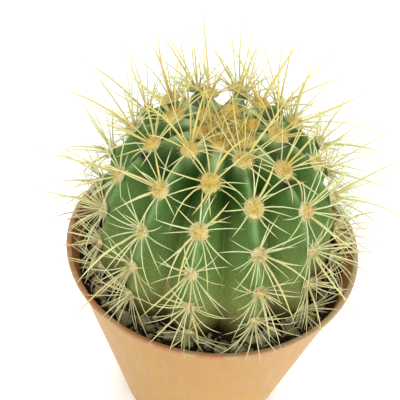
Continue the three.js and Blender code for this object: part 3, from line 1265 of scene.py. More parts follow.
    def build(self, finish: SkinFinish) -> bpy.types.Object:
        """Wrap a grid round the plant and put each of its points on the skin.

        Args:
            finish: The skin's finish.

        Returns:
            The piece.
        """
        bm = bmesh.new()
        across_layer = bm.verts.layers.float.new("across")
        down_layer = bm.verts.layers.float.new("down")
        pad_shadow_layer = bm.verts.layers.float.new("pad_shadow")
        columns = self.ribs * self.columns_per_rib
        bmesh.ops.create_grid(bm, x_segments=columns, y_segments=self.rows, size=1.0)
        for vert in bm.verts:
            turn = (vert.co.x + 1) / 2 * self.ribs
            distance = (vert.co.y + 1) / 2 * self.crest.length
            rib = math.floor(turn + 0.5)
            station = 2 * (turn - rib)
            vert[across_layer] = abs(station)
            vert[down_layer] = distance / 100
            vert[pad_shadow_layer] = self.pad_shadow(rib % self.ribs, station, distance)
            place = self.skin(rib, station, distance)
            vert.co = self.skin(rib, station, distance, self.unevenness(place, distance))
        bmesh.ops.remove_doubles(bm, verts=bm.verts, dist=self.weld)
        return finish_piece(bm, "stem", finish.build(), Node.CACTUS)


# --- Spines ---


@dataclass(frozen=True)
class Spine:
    """One spine: its foot, its direction, its sizes, its colour and how it bows."""

    foot: Vector
    way: Vector
    length: float
    thickness: float
    gold: float
    dry: float
    bow: Vector

    def bend(self, verts: list[bmesh.types.BMVert], rooted: float) -> None:
        """Move the points of a straight pattern of unit size to the spine's place.

        Args:
            verts: The pattern's points.
            rooted: How far the spine reaches into its areole.
        """
        turn = self.way.to_track_quat("Z", "Y").to_matrix()
        for vert in verts:
            share = vert.co.z
            across = turn @ Vector((vert.co.x, vert.co.y, 0)) * (self.thickness / 2)
            reach = share * (self.length + rooted) - rooted
            vert.co = self.foot + self.way * reach + self.bow * math.sin(math.pi * share) + across


@dataclass
class Clearance:
    """What a spine must not run into: the soil with its stones, and the pot's lip."""

    soil_top: float = 66.0
    stone_proud: float = 2.4
    pot_height: float = 74.0
    lip_inner: float = 48.1
    lip_outer: float = 50.0
    margin: float = 0.7
    lift: float = 0.1
    most_lifts: int = 40
    tested_from: float = 2.5
    tested_step: float = 0.5

    def blocked(self, point: Vector) -> bool:
        """Say whether a point is in the soil or the lip.

        Args:
            point: The point.

        Returns:
            Whether it is.
        """
        r = math.hypot(point.x, point.y)
        if r > self.lip_outer + self.margin:
            return False
        floor = self.pot_height if r > self.lip_inner - self.margin else self.soil_top + self.stone_proud
        return point.z < floor + self.margin

    def clear(self, start: Vector, way: Vector, length: float) -> bool:
        """Say whether all of a spine, past its areole, runs clear.

        Args:
            start: The areole's place.
            way: The spine's direction.
            length: Its length.

        Returns:
            Whether it does.
        """
        steps = int((length - self.tested_from) / self.tested_step) + 1
        reaches = (self.tested_from + self.tested_step * i for i in range(steps))
        return not any(self.blocked(start + way * reach) for reach in reaches)

    def bent_clear(self, start: Vector, direction: Vector, length: float) -> Vector:
        """Raise a spine's direction little by little until all of it runs clear.

        Args:
            start: The areole's place.
            direction: The spine's direction.
            length: Its length.

        Returns:
            The raised direction.
        """
        way = direction.copy()
        for _ in range(self.most_lifts):
            if self.clear(start, way, length):
                return way
            way.z += self.lift
            way.normalize()
        return way

    def trimmed(self, start: Vector, way: Vector, length: float, least: float) -> float:
        """Shorten a spine until all of it runs clear, or it has its least length."""
        while length > least and not self.clear(start, way, length):
            length -= self.tested_step
        return length


class Kind(Enum):
    """The kinds of spine."""

    RADIAL = 0
    CENTRAL = 1
    FINE = 2
    SLIM = 3


@dataclass
class Spines:
    """The radial and central spines of every areole, those of the solid and finer ones between them."""

    stem: Stem
    clearance: Clearance = field(default_factory=Clearance)
    radials: int = 6
    centrals: int = 2
    slims: Range = (3.0, 4.0)
    young_radials: int = 4
    young_centrals: int = 1
    young_scale: float = 0.75
    young_lift: float = 24.0
    radial_length: Range = (12.0, 18.0)
    central_length: Range = (18.0, 30.0)
    fine_length: Range = (11.0, 19.0)
    slim_length: Range = (16.0, 31.0)
    radial_turns: Range = (0.0, 0.5)
    central_turns: Range = (0.5, 1.1)
    fine_turns: Range = (0.6, 0.9)
    radial_lean: Range = (14.0, 34.0)
    central_lean: Range = (48.0, 76.0)
    fine_lean: Range = (8.0, 38.0)
    slim_lean: Range = (36.0, 78.0)
    fine_extra: Range = (-2.0, 4.0)
    shortening: float = 0.38
    shortens: Range = (50.0, 70.0)
    low_central: float = 0.65
    least_length: float = 6.0
    least_rise: float = 0.1
    ceiling: float = 148.5
    thickness: dict[Kind, Range] = field(default_factory=lambda: {
        Kind.RADIAL: (0.44, 0.56),
        Kind.CENTRAL: (0.64, 0.84),
        Kind.FINE: (0.34, 0.46),
        Kind.SLIM: (0.48, 0.64),
    })
    young_thickness: float = 0.7
    old_thinning: float = 0.1
    crown_thinning: float = 0.3
    crown_ends: Range = (10.0, 36.0)
    central_gold: Range = (0.6, 1.0)
    central_fading: float = 0.8
    radial_gold: float = 0.25
    crown_gold: float = 0.6
    slim_gold: float = 0.6
    dryness: Range = (0.35, 1.0)
    dries: Range = (0.4, 1.0)
    drying: Range = (40.0, 60.0)
    radial_bow: Range = (0.01, 0.15)
    central_bow: Range = (0.0, 0.1)
    side_bow: float = 0.12
    droop: Range = (0.0, 0.09)
    radial_foot: float = 1.7
    central_foot: float = 0.6
    foot_shrinking: float = 0.3
    ageing: Range = (26.0, 60.0)
    rooted: float = 1.4
    taper: float = 0.25
    pointing: int = 4
    tip_width: float = 0.03
    sides: int = 6
    rings: tuple[float, ...] = (0.15, 0.35, 0.55, 0.72, 0.86, 0.95)

    def template(self) -> bpy.types.Mesh:
        """Make a straight spine of unit length and radius along Z, tapered to a point.

        Returns:
            The pattern's mesh.
        """
        bm = bmesh.new()
        made = bmesh.ops.create_circle(bm, cap_ends=True, segments=self.sides, radius=1.0)
        face = made["verts"][0].link_faces[0]
        bmesh.ops.reverse_faces(bm, faces=[face])
        height = 0.0
        for share in (*self.rings, 1.0):
            grown = bmesh.ops.extrude_discrete_faces(bm, faces=[face])["faces"]
            face = grown[0]
            pointed = (1 - self.taper) * share**self.pointing
            width = max(1 - self.taper * share - pointed, self.tip_width)
            now = face.verts[0].co.xy.length
            bmesh.ops.translate(bm, vec=(0, 0, share - height), verts=face.verts)
            bmesh.ops.scale(bm, vec=(width / now, width / now, 1), verts=face.verts)
            height = share
        return template_of(bm, "spine_pattern")

    def _one(
        self, areole: Areole, kind: Kind, i: int, turn: float, lean: float, length: float
    ) -> Spine:
        """Work out one spine.

        Args:
            areole: Its areole.
            kind: Its kind.
            i: Its number among its kind.
            turn: The angle round the areole, from straight down.
            lean: The angle above the skin.
            length: Its length.

        Returns:
            The spine.
        """
        def chance(what: SpineDraw) -> float:
            """Draw for this spine alone."""
            return draw(areole.key, i, SPINE_SALT + len(Kind) * what + kind.value)

        seat = self.stem.seat(areole)
        flat = seat.downward * math.cos(turn) + seat.sideways * math.sin(turn)
        way = (flat * math.cos(lean) + seat.outward * math.sin(lean)).normalized()
        if kind in (Kind.FINE, Kind.SLIM):
            length = self.clearance.trimmed(seat.spot, way, length, self.least_length)
            length = min(length, (self.ceiling - seat.spot.z) / max(way.z, self.least_rise))
        way = self.clearance.bent_clear(seat.spot, way, length)
        central = kind in (Kind.CENTRAL, Kind.SLIM)
        crown = 1 - smoothstep(*self.crown_ends, areole.distance)
        age = smoothstep(*self.ageing, areole.distance)
        thickness = pick(self.thickness[kind], chance(SpineDraw.THICKNESS)) * (1 - self.old_thinning * age)
        if kind is Kind.SLIM:
            thickness *= 1 - self.crown_thinning * crown
        if areole.young:
            thickness *= self.young_thickness
        gold = pick(self.central_gold, chance(SpineDraw.GOLD)) * (1 - self.central_fading * age)
        if not central:
            gold = self.radial_gold * chance(SpineDraw.GOLD) * (1 - age)
        gold = min(gold + self.crown_gold * crown, 1.0) * (self.slim_gold if kind is Kind.SLIM else 1.0)
        dry = pick(self.dryness, smoothstep(*self.dries, chance(SpineDraw.DRY)))
        tip = seat.spot + way * length
        out = (self.central_foot if central else self.radial_foot) * (1 - self.foot_shrinking * age)
        foot = seat.spot + flat * out
        way = (tip - foot).normalized()
        bows = self.central_bow if central else self.radial_bow
        bow = seat.outward * pick(bows, chance(SpineDraw.BOW) ** 2)
        bow += way.cross(seat.outward).normalized() * self.side_bow * (chance(SpineDraw.SIDE_BOW) - 0.5)
        bow += (UP - way * way.z) * pick(self.droop, chance(SpineDraw.DROOP)) * central
        return Spine(
            foot=foot,
            way=way,
            length=(tip - foot).length,
            thickness=thickness,
            gold=gold,
            dry=dry * smoothstep(*self.drying, areole.distance),
            bow=bow * length,
        )

    def of_areole(self, areole: Areole) -> list[Spine]:
        """List every spine of one areole.

        Args:
            areole: The areole.

        Returns:
            Its spines.
        """
        scale = self.young_scale if areole.young else 1.0
        lift = self.young_lift if areole.young else 0.0
        radials = self.young_radials if areole.young else self.radials
        centrals = self.young_centrals if areole.young else self.centrals
        age = smoothstep(*self.ageing, areole.distance)
        low = smoothstep(*self.shortens, areole.distance)
        found = []

        def chance(i: int, what: PlaceDraw) -> float:
            """Draw for one spine of this areole."""
            return draw(areole.key, i, what)

        for i in range(radials):
            turn = (i + pick(self.radial_turns, chance(i, PlaceDraw.RADIAL_TURN))) * TAU / radials
            lean = math.radians(pick(self.radial_lean, chance(i, PlaceDraw.RADIAL_LEAN)) + lift)
            length = pick(self.radial_length, chance(i, PlaceDraw.RADIAL_LENGTH)) * scale
            found.append(self._one(areole, Kind.RADIAL, i, turn, lean, length))
        for i in range(centrals):
            turn = (i + pick(self.central_turns, chance(i, PlaceDraw.CENTRAL_TURN))) * TAU / centrals
            lean = math.radians(pick(self.central_lean, chance(i, PlaceDraw.CENTRAL_LEAN)))
            length = pick(self.central_length, chance(i, PlaceDraw.CENTRAL_LENGTH)) * scale
            length *= lerp(1, self.low_central, low)
            found.append(self._one(areole, Kind.CENTRAL, i, turn, lean, length))
        if areole.young:
            return found
        for i in range(radials + round(pick(self.fine_extra, age))):
            between = (i + pick(self.fine_turns, chance(i, PlaceDraw.FINE_TURN))) / radials
            turn = TAU * (between if i < radials else chance(i, PlaceDraw.FINE_STRAY))
            lean = math.radians(pick(self.fine_lean, chance(i, PlaceDraw.FINE_LEAN)))
            length = pick(self.fine_length, chance(i, PlaceDraw.FINE_LENGTH))
            found.append(self._one(areole, Kind.FINE, i, turn, lean, length))
        slims = round(pick(self.slims, age))
        for i in range(slims):
            turn = (i + chance(i, PlaceDraw.SLIM_TURN)) * TAU / slims
            lean = math.radians(pick(self.slim_lean, chance(i, PlaceDraw.SLIM_LEAN)))
            length = pick(self.slim_length, chance(i, PlaceDraw.SLIM_LENGTH)) * (1 - self.shortening * age)
            found.append(self._one(areole, Kind.SLIM, i, turn, lean, length))
        return found

    def build(self, finish: SpineFinish) -> bpy.types.Object:
        """Stamp the pattern once for each spine, and bend it.

        Args:
            finish: The spines' finish.

        Returns:
            The piece.
        """
        bm = bmesh.new()
        along = bm.verts.layers.float.new("along")
        gold = bm.verts.layers.float.new("gold")
        dry = bm.verts.layers.float.new("dry")
        pattern = self.template()
        for areole in self.stem.areoles():
            for spine in self.of_areole(areole):
                verts = stamp(bm, pattern)
                for vert in verts:
                    vert[along] = vert.co.z
                    vert[gold] = spine.gold
                    vert[dry] = spine.dry
                spine.bend(verts, self.rooted)
        return finish_piece(bm, "spines", finish.build(), Node.CACTUS, recalculate=False)


# --- Areole wool ---


@dataclass
class Wool:
    """The matted wool cushions of the areoles, and the woolly crown, each with loose hairs."""

    stem: Stem
    radius: float = 3.0
    height: float = 1.8
    sunk: float = 0.7
    young_scale: Range = (0.9, 1.1)
    old_scale: Range = (0.95, 1.1)
    ageing: Range = (26.0, 64.0)
    young_tone: float = 0.15
    old_tone: float = 0.06
    tone_spread: float = 0.18
    darkening: float = 0.71
    darkens: Range = (15.0, 60.0)
    crown_tone: float = 0.8
    patterns: int = 4
    drift: tuple[float, float] = (3.7, 1.3)
    lump: float = 0.2
    lump_scale: float = 2.2
    fine_lump: float = 0.1
    fine_lump_scale: float = 7.0
    hairs: int = 110
    hair_length: Range = (0.8, 1.9)
    hair_thickness: float = 0.14
    shrinking: float = 0.3
    crown_radius: float = 3.6
    crown_height: float = 2.0
    crown_hairs: int = 160
    hair_depth: float = 0.92
    hair_spread: float = 0.25
    hair_rise: Range = (0.1, 1.0)
    hair_stray: float = 0.4
    hair_stray_up: Range = (-0.2, 0.3)

    def tuft(self, seed: int, radius: float, height: float, hairs: int) -> bpy.types.Mesh:
        """Make one cushion, Z outward, with hairs all over its upper side.

        Args:
            seed: Start of its random draws.
            radius: Its radius.
            height: Its height above its foot.
            hairs: How many hairs stand on it.

        Returns:
            The pattern's mesh.
        """
        rng = random.Random(seed)
        bm = bmesh.new()
        bmesh.ops.create_icosphere(bm, subdivisions=3, radius=1.0)
        drift = Vector((seed * self.drift[0], seed * self.drift[1], 0))
        for vert in bm.verts:
            lump = self.lump * noise.noise(vert.co * self.lump_scale + drift)
            lump += self.fine_lump * noise.noise(vert.co * self.fine_lump_scale + drift)
            depth = height if vert.co.z > 0 else self.sunk
            vert.co = Vector((vert.co.x * radius, vert.co.y * radius, vert.co.z * depth)) * (1 + lump)
        for _ in range(hairs):
            turn = rng.uniform(0, TAU)
            rise = rng.uniform(0.0, 1.0)
            out = math.sqrt(1 - rise * rise)
            around = Vector((math.cos(turn), math.sin(turn), 0))
            spot = (around * out * radius + UP * rise * height) * self.hair_depth
            way = around * (out + self.hair_spread) + UP * pick(self.hair_rise, rise)
            stray = [rng.uniform(-self.hair_stray, self.hair_stray) for _ in range(2)]
            way += Vector((*stray, rng.uniform(*self.hair_stray_up)))
            way.normalize()
            length = rng.uniform(*self.hair_length)
            turned = way.to_track_quat("Z", "Y").to_matrix().to_4x4()
            bmesh.ops.create_cone(
                bm,
                cap_ends=True,
                segments=3,
                radius1=self.hair_thickness / 2,
                radius2=self.hair_thickness / 6,
                depth=length,
                matrix=Matrix.Translation(spot + way * length / 2) @ turned,
            )
        return template_of(bm, f"wool_pattern_{seed}")

    def build(self, finish: WoolFinish) -> bpy.types.Object:
        """Set a cushion on every areole, and the crown's own patch in the middle.

        Args:
            finish: The wool's finish.

        Returns:
            The piece.
        """
        bm = bmesh.new()
        tone = bm.verts.layers.float.new("tone")
        rim = bm.verts.layers.float.new("rim")

        def add(pattern: bpy.types.Mesh, place: Matrix, reach: float, shade: float) -> None:
            """Set one cushion at its place, with its tone and its rim reached at the given radius."""
            verts = stamp(bm, pattern)
            for vert in verts:
                vert[tone] = shade
                vert[rim] = min(vert.co.xy.length / reach, 1.0)
            bmesh.ops.transform(bm, matrix=place, verts=verts)

        sizes = (self.radius, self.height, self.hairs)
        patterns = [self.tuft(seed, *sizes) for seed in range(self.patterns)]
        for areole in self.stem.areoles():
            seat = self.stem.seat(areole)
            scales = self.young_scale if areole.young else self.old_scale
            scale = pick(scales, draw(areole.key, WoolDraw.SIZE, WOOL_SALT))
            scale *= 1 - self.shrinking * smoothstep(*self.ageing, areole.distance)
            pattern = patterns[int(draw(areole.key, WoolDraw.PATTERN, WOOL_SALT) * self.patterns)]
            chance = draw(areole.key, WoolDraw.SHADE, WOOL_SALT)
            shade = self.young_tone * chance
            if not areole.young:
                aged = self.darkening * smoothstep(*self.darkens, areole.distance)
                shade = self.old_tone + aged + self.tone_spread * chance
            add(pattern, seat.matrix() @ Matrix.Scale(scale, 4), self.radius, shade)
        crown = self.tuft(self.patterns, self.crown_radius, self.crown_height, self.crown_hairs)
        top = Vector((0, 0, self.stem.crest.point(0).y))
        add(crown, Matrix.Translation(top), self.crown_radius * 2, self.crown_tone)
        return finish_piece(bm, "areole_wool", finish.build(), Node.CACTUS, recalculate=False)


# --- Pot ---


@dataclass
class Pot:
    """The thin plastic pot with its rolled lip and drain holes."""

    rim_radius: float = 50.0
    height: float = 74.0
    base_radius: float = 29.0
    wall: float = 1.0
    floor: float = 1.5
    lip_height: float = 1.3
    lip_overhang: float = 0.9
    drains: int = 6
    drain_radius: float = 2.8
    drain_circle: float = 19.0
    foot_round: float = 1.2
    foot_row: float = 2.0
    floor_inset: float = 0.8
    neck: float = 0.8
    flare: float = 0.25
    flare_drop: float = 0.2
    lip_land: float = 0.4
    lip_round: float = 0.1
    lip_ease: float = 0.12
    bead_turn: Range = (-50.0, 90.0)
    bead_steps: int = 6
    inner_slack: float = 0.15
    steps: int = 192
    drain_steps: int = 32

    def outside(self, z: float) -> float:
        """Give the outer radius of the wall at a height."""
        return lerp(self.base_radius, self.rim_radius - self.lip_overhang, z / self.height)

    def inside(self, z: float) -> float:
        """Give the inner radius of the wall at a height."""
        return self.outside(z) - self.wall

    def profile(self) -> list[tuple[float, float]]:
        """List radius and height round the wall's section, from the underside's middle to the floor's.

        Returns:
            The section's corners.
        """
        top = self.height
        low = top - self.lip_height
        roll = self.wall / 2
        outer = [
            (0.0, 0.0),
            (self.base_radius - self.foot_round, 0.0),
            (self.base_radius - self.foot_round / 3, self.foot_round / 8),
            (self.outside(self.foot_round / 2), self.foot_round / 2),
            (self.outside(self.foot_row), self.foot_row),
            (self.outside(low - self.neck), low - self.neck),
            (self.outside(low) + self.flare, low - self.flare_drop),
            (self.rim_radius - self.lip_land, low),
            (self.rim_radius - self.lip_ease, low + self.lip_ease),
        ]
        bead = []
        for i in range(self.bead_steps + 1):
            angle = math.radians(lerp(*self.bead_turn, i / self.bead_steps))
            r = self.rim_radius - roll * (1 - math.cos(angle))
            bead.append((r, top - roll * (1 - math.sin(angle))))
        inner = [
            (self.inside(top) + roll / 2, top),
            (self.inside(top) + self.lip_round, top - self.flare),
            (self.inside(top), top - self.neck),
        ]
        bend = self.floor + self.foot_round
        corner = self.inside(self.floor) - self.floor_inset
        foot = [(self.inside(bend), bend), (corner, self.floor), (0.0, self.floor)]
        return outer + bead + inner + foot

    def build(self, finish: PlasticFinish) -> bpy.types.Object:
        """Spin the section round the axis, and drill the drains.

        Args:
            finish: The plastic's finish.

        Returns:
            The piece.
        """
        bm = spun(self.profile(), self.steps)
        inner = bm.verts.layers.float.new("inner")
        for vert in bm.verts:
            r = math.hypot(vert.co.x, vert.co.y)
            within = r < self.inside(vert.co.z) + self.inner_slack and vert.co.z > self.floor / 2
            vert[inner] = 1.0 if within else 0.0
        piece = finish_piece(bm, "nursery_pot", finish.build(), Node.POT)
        self._drill(piece)
        return piece

    def _drill(self, piece: bpy.types.Object) -> None:
        """Cut the drain holes through the floor.

        Args:
            piece: The pot.
        """
        bm = bmesh.new()
        for i in range(self.drains):
            angle = (i + 0.5) * TAU / self.drains
            spot = Vector((math.cos(angle), math.sin(angle), 0)) * self.drain_circle
            bmesh.ops.create_cone(
                bm,
                cap_ends=True,
                segments=self.drain_steps,
                radius1=self.drain_radius,
                radius2=self.drain_radius,
                depth=4 * self.floor,
                matrix=Matrix.Translation(spot),
            )
        bmesh.ops.scale(bm, vec=(MM, MM, MM), verts=bm.verts)
        cutter = add_object("drain_cutter", template_of(bm, "drain_cutter"))
        cut = piece.modifiers.new("drains", "BOOLEAN")
        cut.object = cutter
        cut.solver = "EXACT"
        bpy.context.view_layer.update()
        drilled = piece.evaluated_get(bpy.context.evaluated_depsgraph_get())
        cut_mesh = bpy.data.meshes.new_from_object(drilled)
        piece.modifiers.clear()
        piece.data = cut_mesh
        cut_mesh.name = piece.name
        bpy.data.objects.remove(cutter)


# --- Soil ---


@dataclass(frozen=True)
class Strewing:
    """How small rocks are strewn: their number, sizes, tones, shapes and gap to the pot."""

    count: int
    half_width: Range
    tones: Range
    gap: float
    detail: int
    patterns: range
    seed: int


@dataclass
class Soil:
    """The potting mix, its pumice stones and the small grit and crumbs between them."""

    pot: Pot
    top: float = 66.0
    gap: float = 0.35
    stones: int = 72
    stone_half_width: Range = (1.5, 3.1)
    stone_proud: float = 2.4
    inner_reach: float = 37.5
    hidden_reach: float = 30.0
    roughness: float = 0.8
    lump_lengths: tuple[float, float, float] = (3.4, 1.3, 9.0)
    lump_shares: tuple[float, float, float] = (1.0, 0.5, 0.6)
    settled: float = 0.3
    shoulder: float = 1.0
    foot_inset: float = 0.8
    slack: float = 0.1
    still_radius: float = 1.0
    stone_gap: float = 1.0
    steps: int = 300
    rings: int = 26
    stone_tones: Range = (0.5, 1.0)
    stone_narrowness: Range = (0.7, 1.0)
    stone_flatness: float = 0.9
    stone_stray: float = 0.8
    stone_patterns: int = 8
    stone_detail: int = 3
    rock_planes: int = 9
    rock_plane_reach: float = 0.72
    rock_lump: float = 0.12
    rock_lump_scale: float = 2.5
    rock_fine_lump: float = 0.1
    rock_fine_lump_scale: float = 6.0
    rock_grazing: float = 0.1
    rock_drift: float = 50.0
    strewn_inside: float = 4.0
    strewn_sunk: Range = (-0.1, 0.6)
    strewn_width: Range = (0.65, 1.0)
    strewn_height: Range = (0.6, 0.9)
    grit: Strewing = Strewing(
        count=620, half_width=(0.5, 1.5), tones=(0.15, 1.0), gap=0.6, detail=2, patterns=range(20, 28), seed=5
    )
    crumbs: Strewing = Strewing(
        count=900, half_width=(0.3, 0.95), tones=(0.0, 1.0), gap=0.5, detail=1, patterns=range(40, 46), seed=9
    )

    def surface(self, x: float, y: float) -> float:
        """Give the height of the bed's surface.

        Args:
            x: Place to the right.
            y: Place to the back.

        Returns:
            The height.
        """
        place = Vector((x, y, 0))
        waves = zip(self.lump_shares, self.lump_lengths)
        lumps = sum(share * noise.noise(place / length) for share, length in waves)
        return self.top - self.settled + self.roughness * lumps

    def build_bed(self, finish: EarthFinish) -> bpy.types.Object:
        """Spin the bed's section, and roughen its surface.

        Args:
            finish: The earth's finish.

        Returns:
            The piece.
        """
        low = self.pot.floor + self.gap
        outer = self.pot.inside(self.top) - self.gap
        foot = self.pot.inside(low) - self.gap - self.foot_inset
        section = [(0.0, low), (foot, low), (outer, self.top - self.shoulder)]
        for i in range(self.rings + 1):
            section.append((lerp(outer, self.hidden_reach, i / self.rings), self.top))
        section.append((0.0, self.top))
        bm = spun(section, self.steps)
        for vert in bm.verts:
            if vert.co.z > self.top - self.slack and math.hypot(vert.co.x, vert.co.y) > self.still_radius:
                vert.co.z = self.surface(vert.co.x, vert.co.y)
        return finish_piece(bm, "soil_bed", finish.build(), Node.SOIL)

    def rock(self, seed: int, detail: int) -> bpy.types.Mesh:
        """Make one angular rock of unit size.

        Args:
            seed: Start of its random draws.
            detail: How often its round start is divided.

        Returns:
            The pattern's mesh.
        """
        rng = random.Random(seed)
        bm = bmesh.new()
        bmesh.ops.create_icosphere(bm, subdivisions=detail, radius=1.0)
        drift = Vector([rng.uniform(0, self.rock_drift) for _ in range(3)])
        planes = [Vector([rng.gauss(0, 1) for _ in range(3)]).normalized() for _ in range(self.rock_planes)]
        for vert in bm.verts:
            way = vert.co.normalized()
            facing = max(self.rock_grazing, *(way.dot(plane) for plane in planes))
            reach = min(self.rock_plane_reach / facing, 1.0)
            lump = self.rock_lump * noise.noise(way * self.rock_lump_scale + drift)
            lump += self.rock_fine_lump * noise.noise(way * self.rock_fine_lump_scale + drift)
            vert.co = way * min(reach * (1 + lump), 1.0)
        return template_of(bm, f"rock_{seed}_{detail}")

    def _strew(self, bm: bmesh.types.BMesh, strewing: Strewing) -> None:
        """Strew small rocks over the part of the bed that shows.

        Args:
            bm: The mesh that they are added to.
            strewing: How many, how large and how pale.
        """
        layer = bm.verts.layers.float["tone"]
        patterns = [self.rock(seed, strewing.detail) for seed in strewing.patterns]
        inner = self.inner_reach - self.strewn_inside
        outer = self.pot.inside(self.top) - strewing.gap
        rng = random.Random(strewing.seed)
        for _ in range(strewing.count):
            size = pick(strewing.half_width, rng.random() ** 2)
            turn = rng.uniform(0, TAU)
            r = math.sqrt(rng.uniform(inner**2, (outer - size) ** 2))
            spot = Vector((r * math.cos(turn), r * math.sin(turn), 0))
            spot.z = self.surface(spot.x, spot.y) + size * rng.uniform(*self.strewn_sunk)
            heading = Matrix.Rotation(rng.uniform(0, TAU), 3, "Z")
            spin = heading @ Matrix.Rotation(rng.uniform(0, TAU), 3, "X")
            width = size * rng.uniform(*self.strewn_width)
            shape = Vector((size, width, size * rng.uniform(*self.strewn_height)))
            tone = rng.uniform(*strewing.tones)
            verts = stamp(bm, patterns[rng.randrange(len(patterns))])
            for vert in verts:
                vert[layer] = tone
            place = Matrix.Translation(spot) @ spin.to_4x4() @ Matrix.Diagonal((*shape, 1))
            bmesh.ops.transform(bm, matrix=place, verts=verts)

    def build_stones(self, finish: StoneFinish) -> bpy.types.Object:
        """Lay the stones of the solid, finer, and strew grit between them.

        Args:
            finish: The stones' finish.

        Returns:
            The piece.
        """
        bm = bmesh.new()
        layer = bm.verts.layers.float.new("tone")
        patterns = [self.rock(seed, self.stone_detail) for seed in range(self.stone_patterns)]

        def chance(i: int, what: StoneDraw) -> float:
            """Draw for one stone."""
            return draw(i, what, STONE_SALT)

        for i in range(self.stones):
            size = pick(self.stone_half_width, chance(i, StoneDraw.SIZE))
            outer = self.pot.inside(self.top) - size - self.stone_gap
            r = lerp(self.inner_reach, outer, chance(i, StoneDraw.REACH))
            azimuth = (i + self.stone_stray * chance(i, StoneDraw.AZIMUTH)) * TAU / self.stones
            width = size * pick(self.stone_narrowness, chance(i, StoneDraw.NARROWNESS))
            shape = Matrix.Diagonal((size, width, min(size * self.stone_flatness, self.stone_proud)))
            heading = Matrix.Rotation(TAU * chance(i, StoneDraw.HEADING), 3, "Z")
            place = heading @ shape @ Matrix.Rotation(TAU * chance(i, StoneDraw.TUMBLE), 3, "X")
            place = Matrix.Translation(on_meridian(azimuth, r, self.top)) @ place.to_4x4()
            verts = stamp(bm, patterns[int(chance(i, StoneDraw.PATTERN) * len(patterns))])
            for vert in verts:
                vert[layer] = pick(self.stone_tones, chance(i, StoneDraw.TONE))
            bmesh.ops.transform(bm, matrix=place, verts=verts)
        self._strew(bm, self.grit)
        return finish_piece(bm, "pumice_stones", finish.build(), Node.SOIL, recalculate=False)

    def build_crumbs(self, finish: EarthFinish) -> bpy.types.Object:
        """Strew dark crumbs of peat over the bed.

        Args:
            finish: The earth's finish.

        Returns:
            The piece.
        """
        bm = bmesh.new()
        bm.verts.layers.float.new("tone")
        self._strew(bm, self.crumbs)
        return finish_piece(bm, "soil_crumbs", finish.build(), Node.SOIL, recalculate=False)


# --- Studio ---


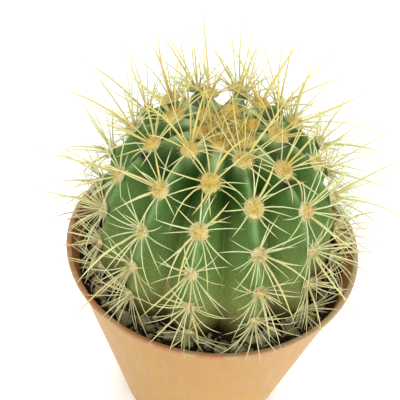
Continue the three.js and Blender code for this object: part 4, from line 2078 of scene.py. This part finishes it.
@dataclass
class Studio:
    """The pale floor, the soft lights and the camera, in metres."""

    rim_height: float = 0.074
    elevation: float = 43.9
    roll: float = 5.3
    distance: float = 0.32
    aim_x: float = -0.0058
    aim_above_rim: float = 0.0181
    lens: float = 87.2
    sensor: float = 36.0
    floor_size: float = 6.0
    floor_colours: tuple[Colour, Colour] = ((0.955, 0.955, 0.95), (0.975, 0.975, 0.975))
    floor_roughness: float = 0.8
    daylight: Colour = (1.0, 1.0, 0.985)
    warm_daylight: Colour = (1.0, 1.0, 0.97)
    lit_height: float = 0.09
    sky: float = 0.75

    def build_camera(self) -> None:
        """Set the camera at the photograph's viewing angle."""
        e, roll = math.radians(self.elevation), math.radians(self.roll)
        back = Vector((0, -math.cos(e), math.sin(e)))
        right = Vector((1, 0, 0))
        up = Vector((0, math.sin(e), math.cos(e)))
        rolled_right = right * math.cos(roll) + up * math.sin(roll)
        rolled_up = up * math.cos(roll) - right * math.sin(roll)
        data = bpy.data.cameras.new("camera")
        data.sensor_fit = "HORIZONTAL"
        data.sensor_width = self.sensor
        data.lens = self.lens
        camera = add_object("camera", data)
        turn = Matrix((rolled_right, rolled_up, back)).transposed().to_4x4()
        aim = Vector((self.aim_x, 0, self.rim_height + self.aim_above_rim))
        camera.matrix_world = Matrix.Translation(aim + back * self.distance) @ turn
        bpy.context.scene.camera = camera

    def build_floor(self) -> None:
        """Lay a large white floor."""
        bm = bmesh.new()
        bmesh.ops.create_grid(bm, x_segments=1, y_segments=1, size=self.floor_size / 2)
        floor = add_object("floor", template_of(bm, "floor"))
        material = bpy.data.materials.new("floor_paper")
        material.use_nodes = True
        sheet = Sheet(material.node_tree)
        shader = material.node_tree.nodes["Principled BSDF"]
        cloud = sheet.add("TexNoise")
        cloud.inputs["Scale"].default_value = 3.0
        sheet.join(sheet.place(), cloud.inputs["Vector"])
        tone = sheet.mix(cloud.outputs["Fac"], *self.floor_colours)
        sheet.join(tone, shader.inputs["Base Color"])
        shader.inputs["Roughness"].default_value = self.floor_roughness
        floor.data.materials.append(material)

    def _panel(self, name: str, spot: Vector, size: float, power: float, colour: Colour) -> None:
        """Hang a soft square light that points at the plant.

        Args:
            name: The light's name.
            spot: Where it hangs.
            size: The side of its square.
            power: Its power in watts.
            colour: Its colour.
        """
        data = bpy.data.lights.new(name, "AREA")
        data.size = size
        data.energy = power
        data.color = colour
        light = add_object(name, data)
        light.location = spot
        way = UP * self.lit_height - spot
        light.rotation_euler = way.to_track_quat("-Z", "Y").to_euler()

    def build_lights(self) -> None:
        """Light the plant softly from all round, and more from the front left and above."""
        self._panel("key", Vector((-0.5, -0.85, 0.75)), 0.9, 8.8, self.daylight)
        self._panel("fill", Vector((0.85, -0.75, 0.28)), 1.0, 11.6, self.daylight)
        self._panel("back", Vector((0.1, 1.1, 0.9)), 0.9, 12.0, self.warm_daylight)
        world = bpy.data.worlds.new("studio")
        world.use_nodes = True
        sky = world.node_tree.nodes["Background"]
        sky.inputs["Color"].default_value = (1.0, 1.0, 1.0, 1.0)
        sky.inputs["Strength"].default_value = self.sky
        bpy.context.scene.world = world
        view = bpy.context.scene.view_settings
        view.view_transform = "Standard"
        view.look = "None"

    def build(self) -> None:
        """Set up the whole studio."""
        self.build_camera()
        self.build_floor()
        self.build_lights()


def main() -> None:
    """Build the studio, then each piece in turn."""
    logging.basicConfig(level=logging.INFO, format="%(name)s: %(message)s")
    Studio().build()
    effects = Effects()
    pot = Pot()
    pot.build(PlasticFinish(effects))
    soil = Soil(pot)
    soil.build_bed(EarthFinish(effects))
    soil.build_stones(StoneFinish(effects))
    soil.build_crumbs(EarthFinish(effects))
    stem = Stem()
    stem.build(SkinFinish(effects))
    Wool(stem).build(WoolFinish(effects))
    Spines(stem).build(SpineFinish(effects))


if __name__ == "__main__":
    main()
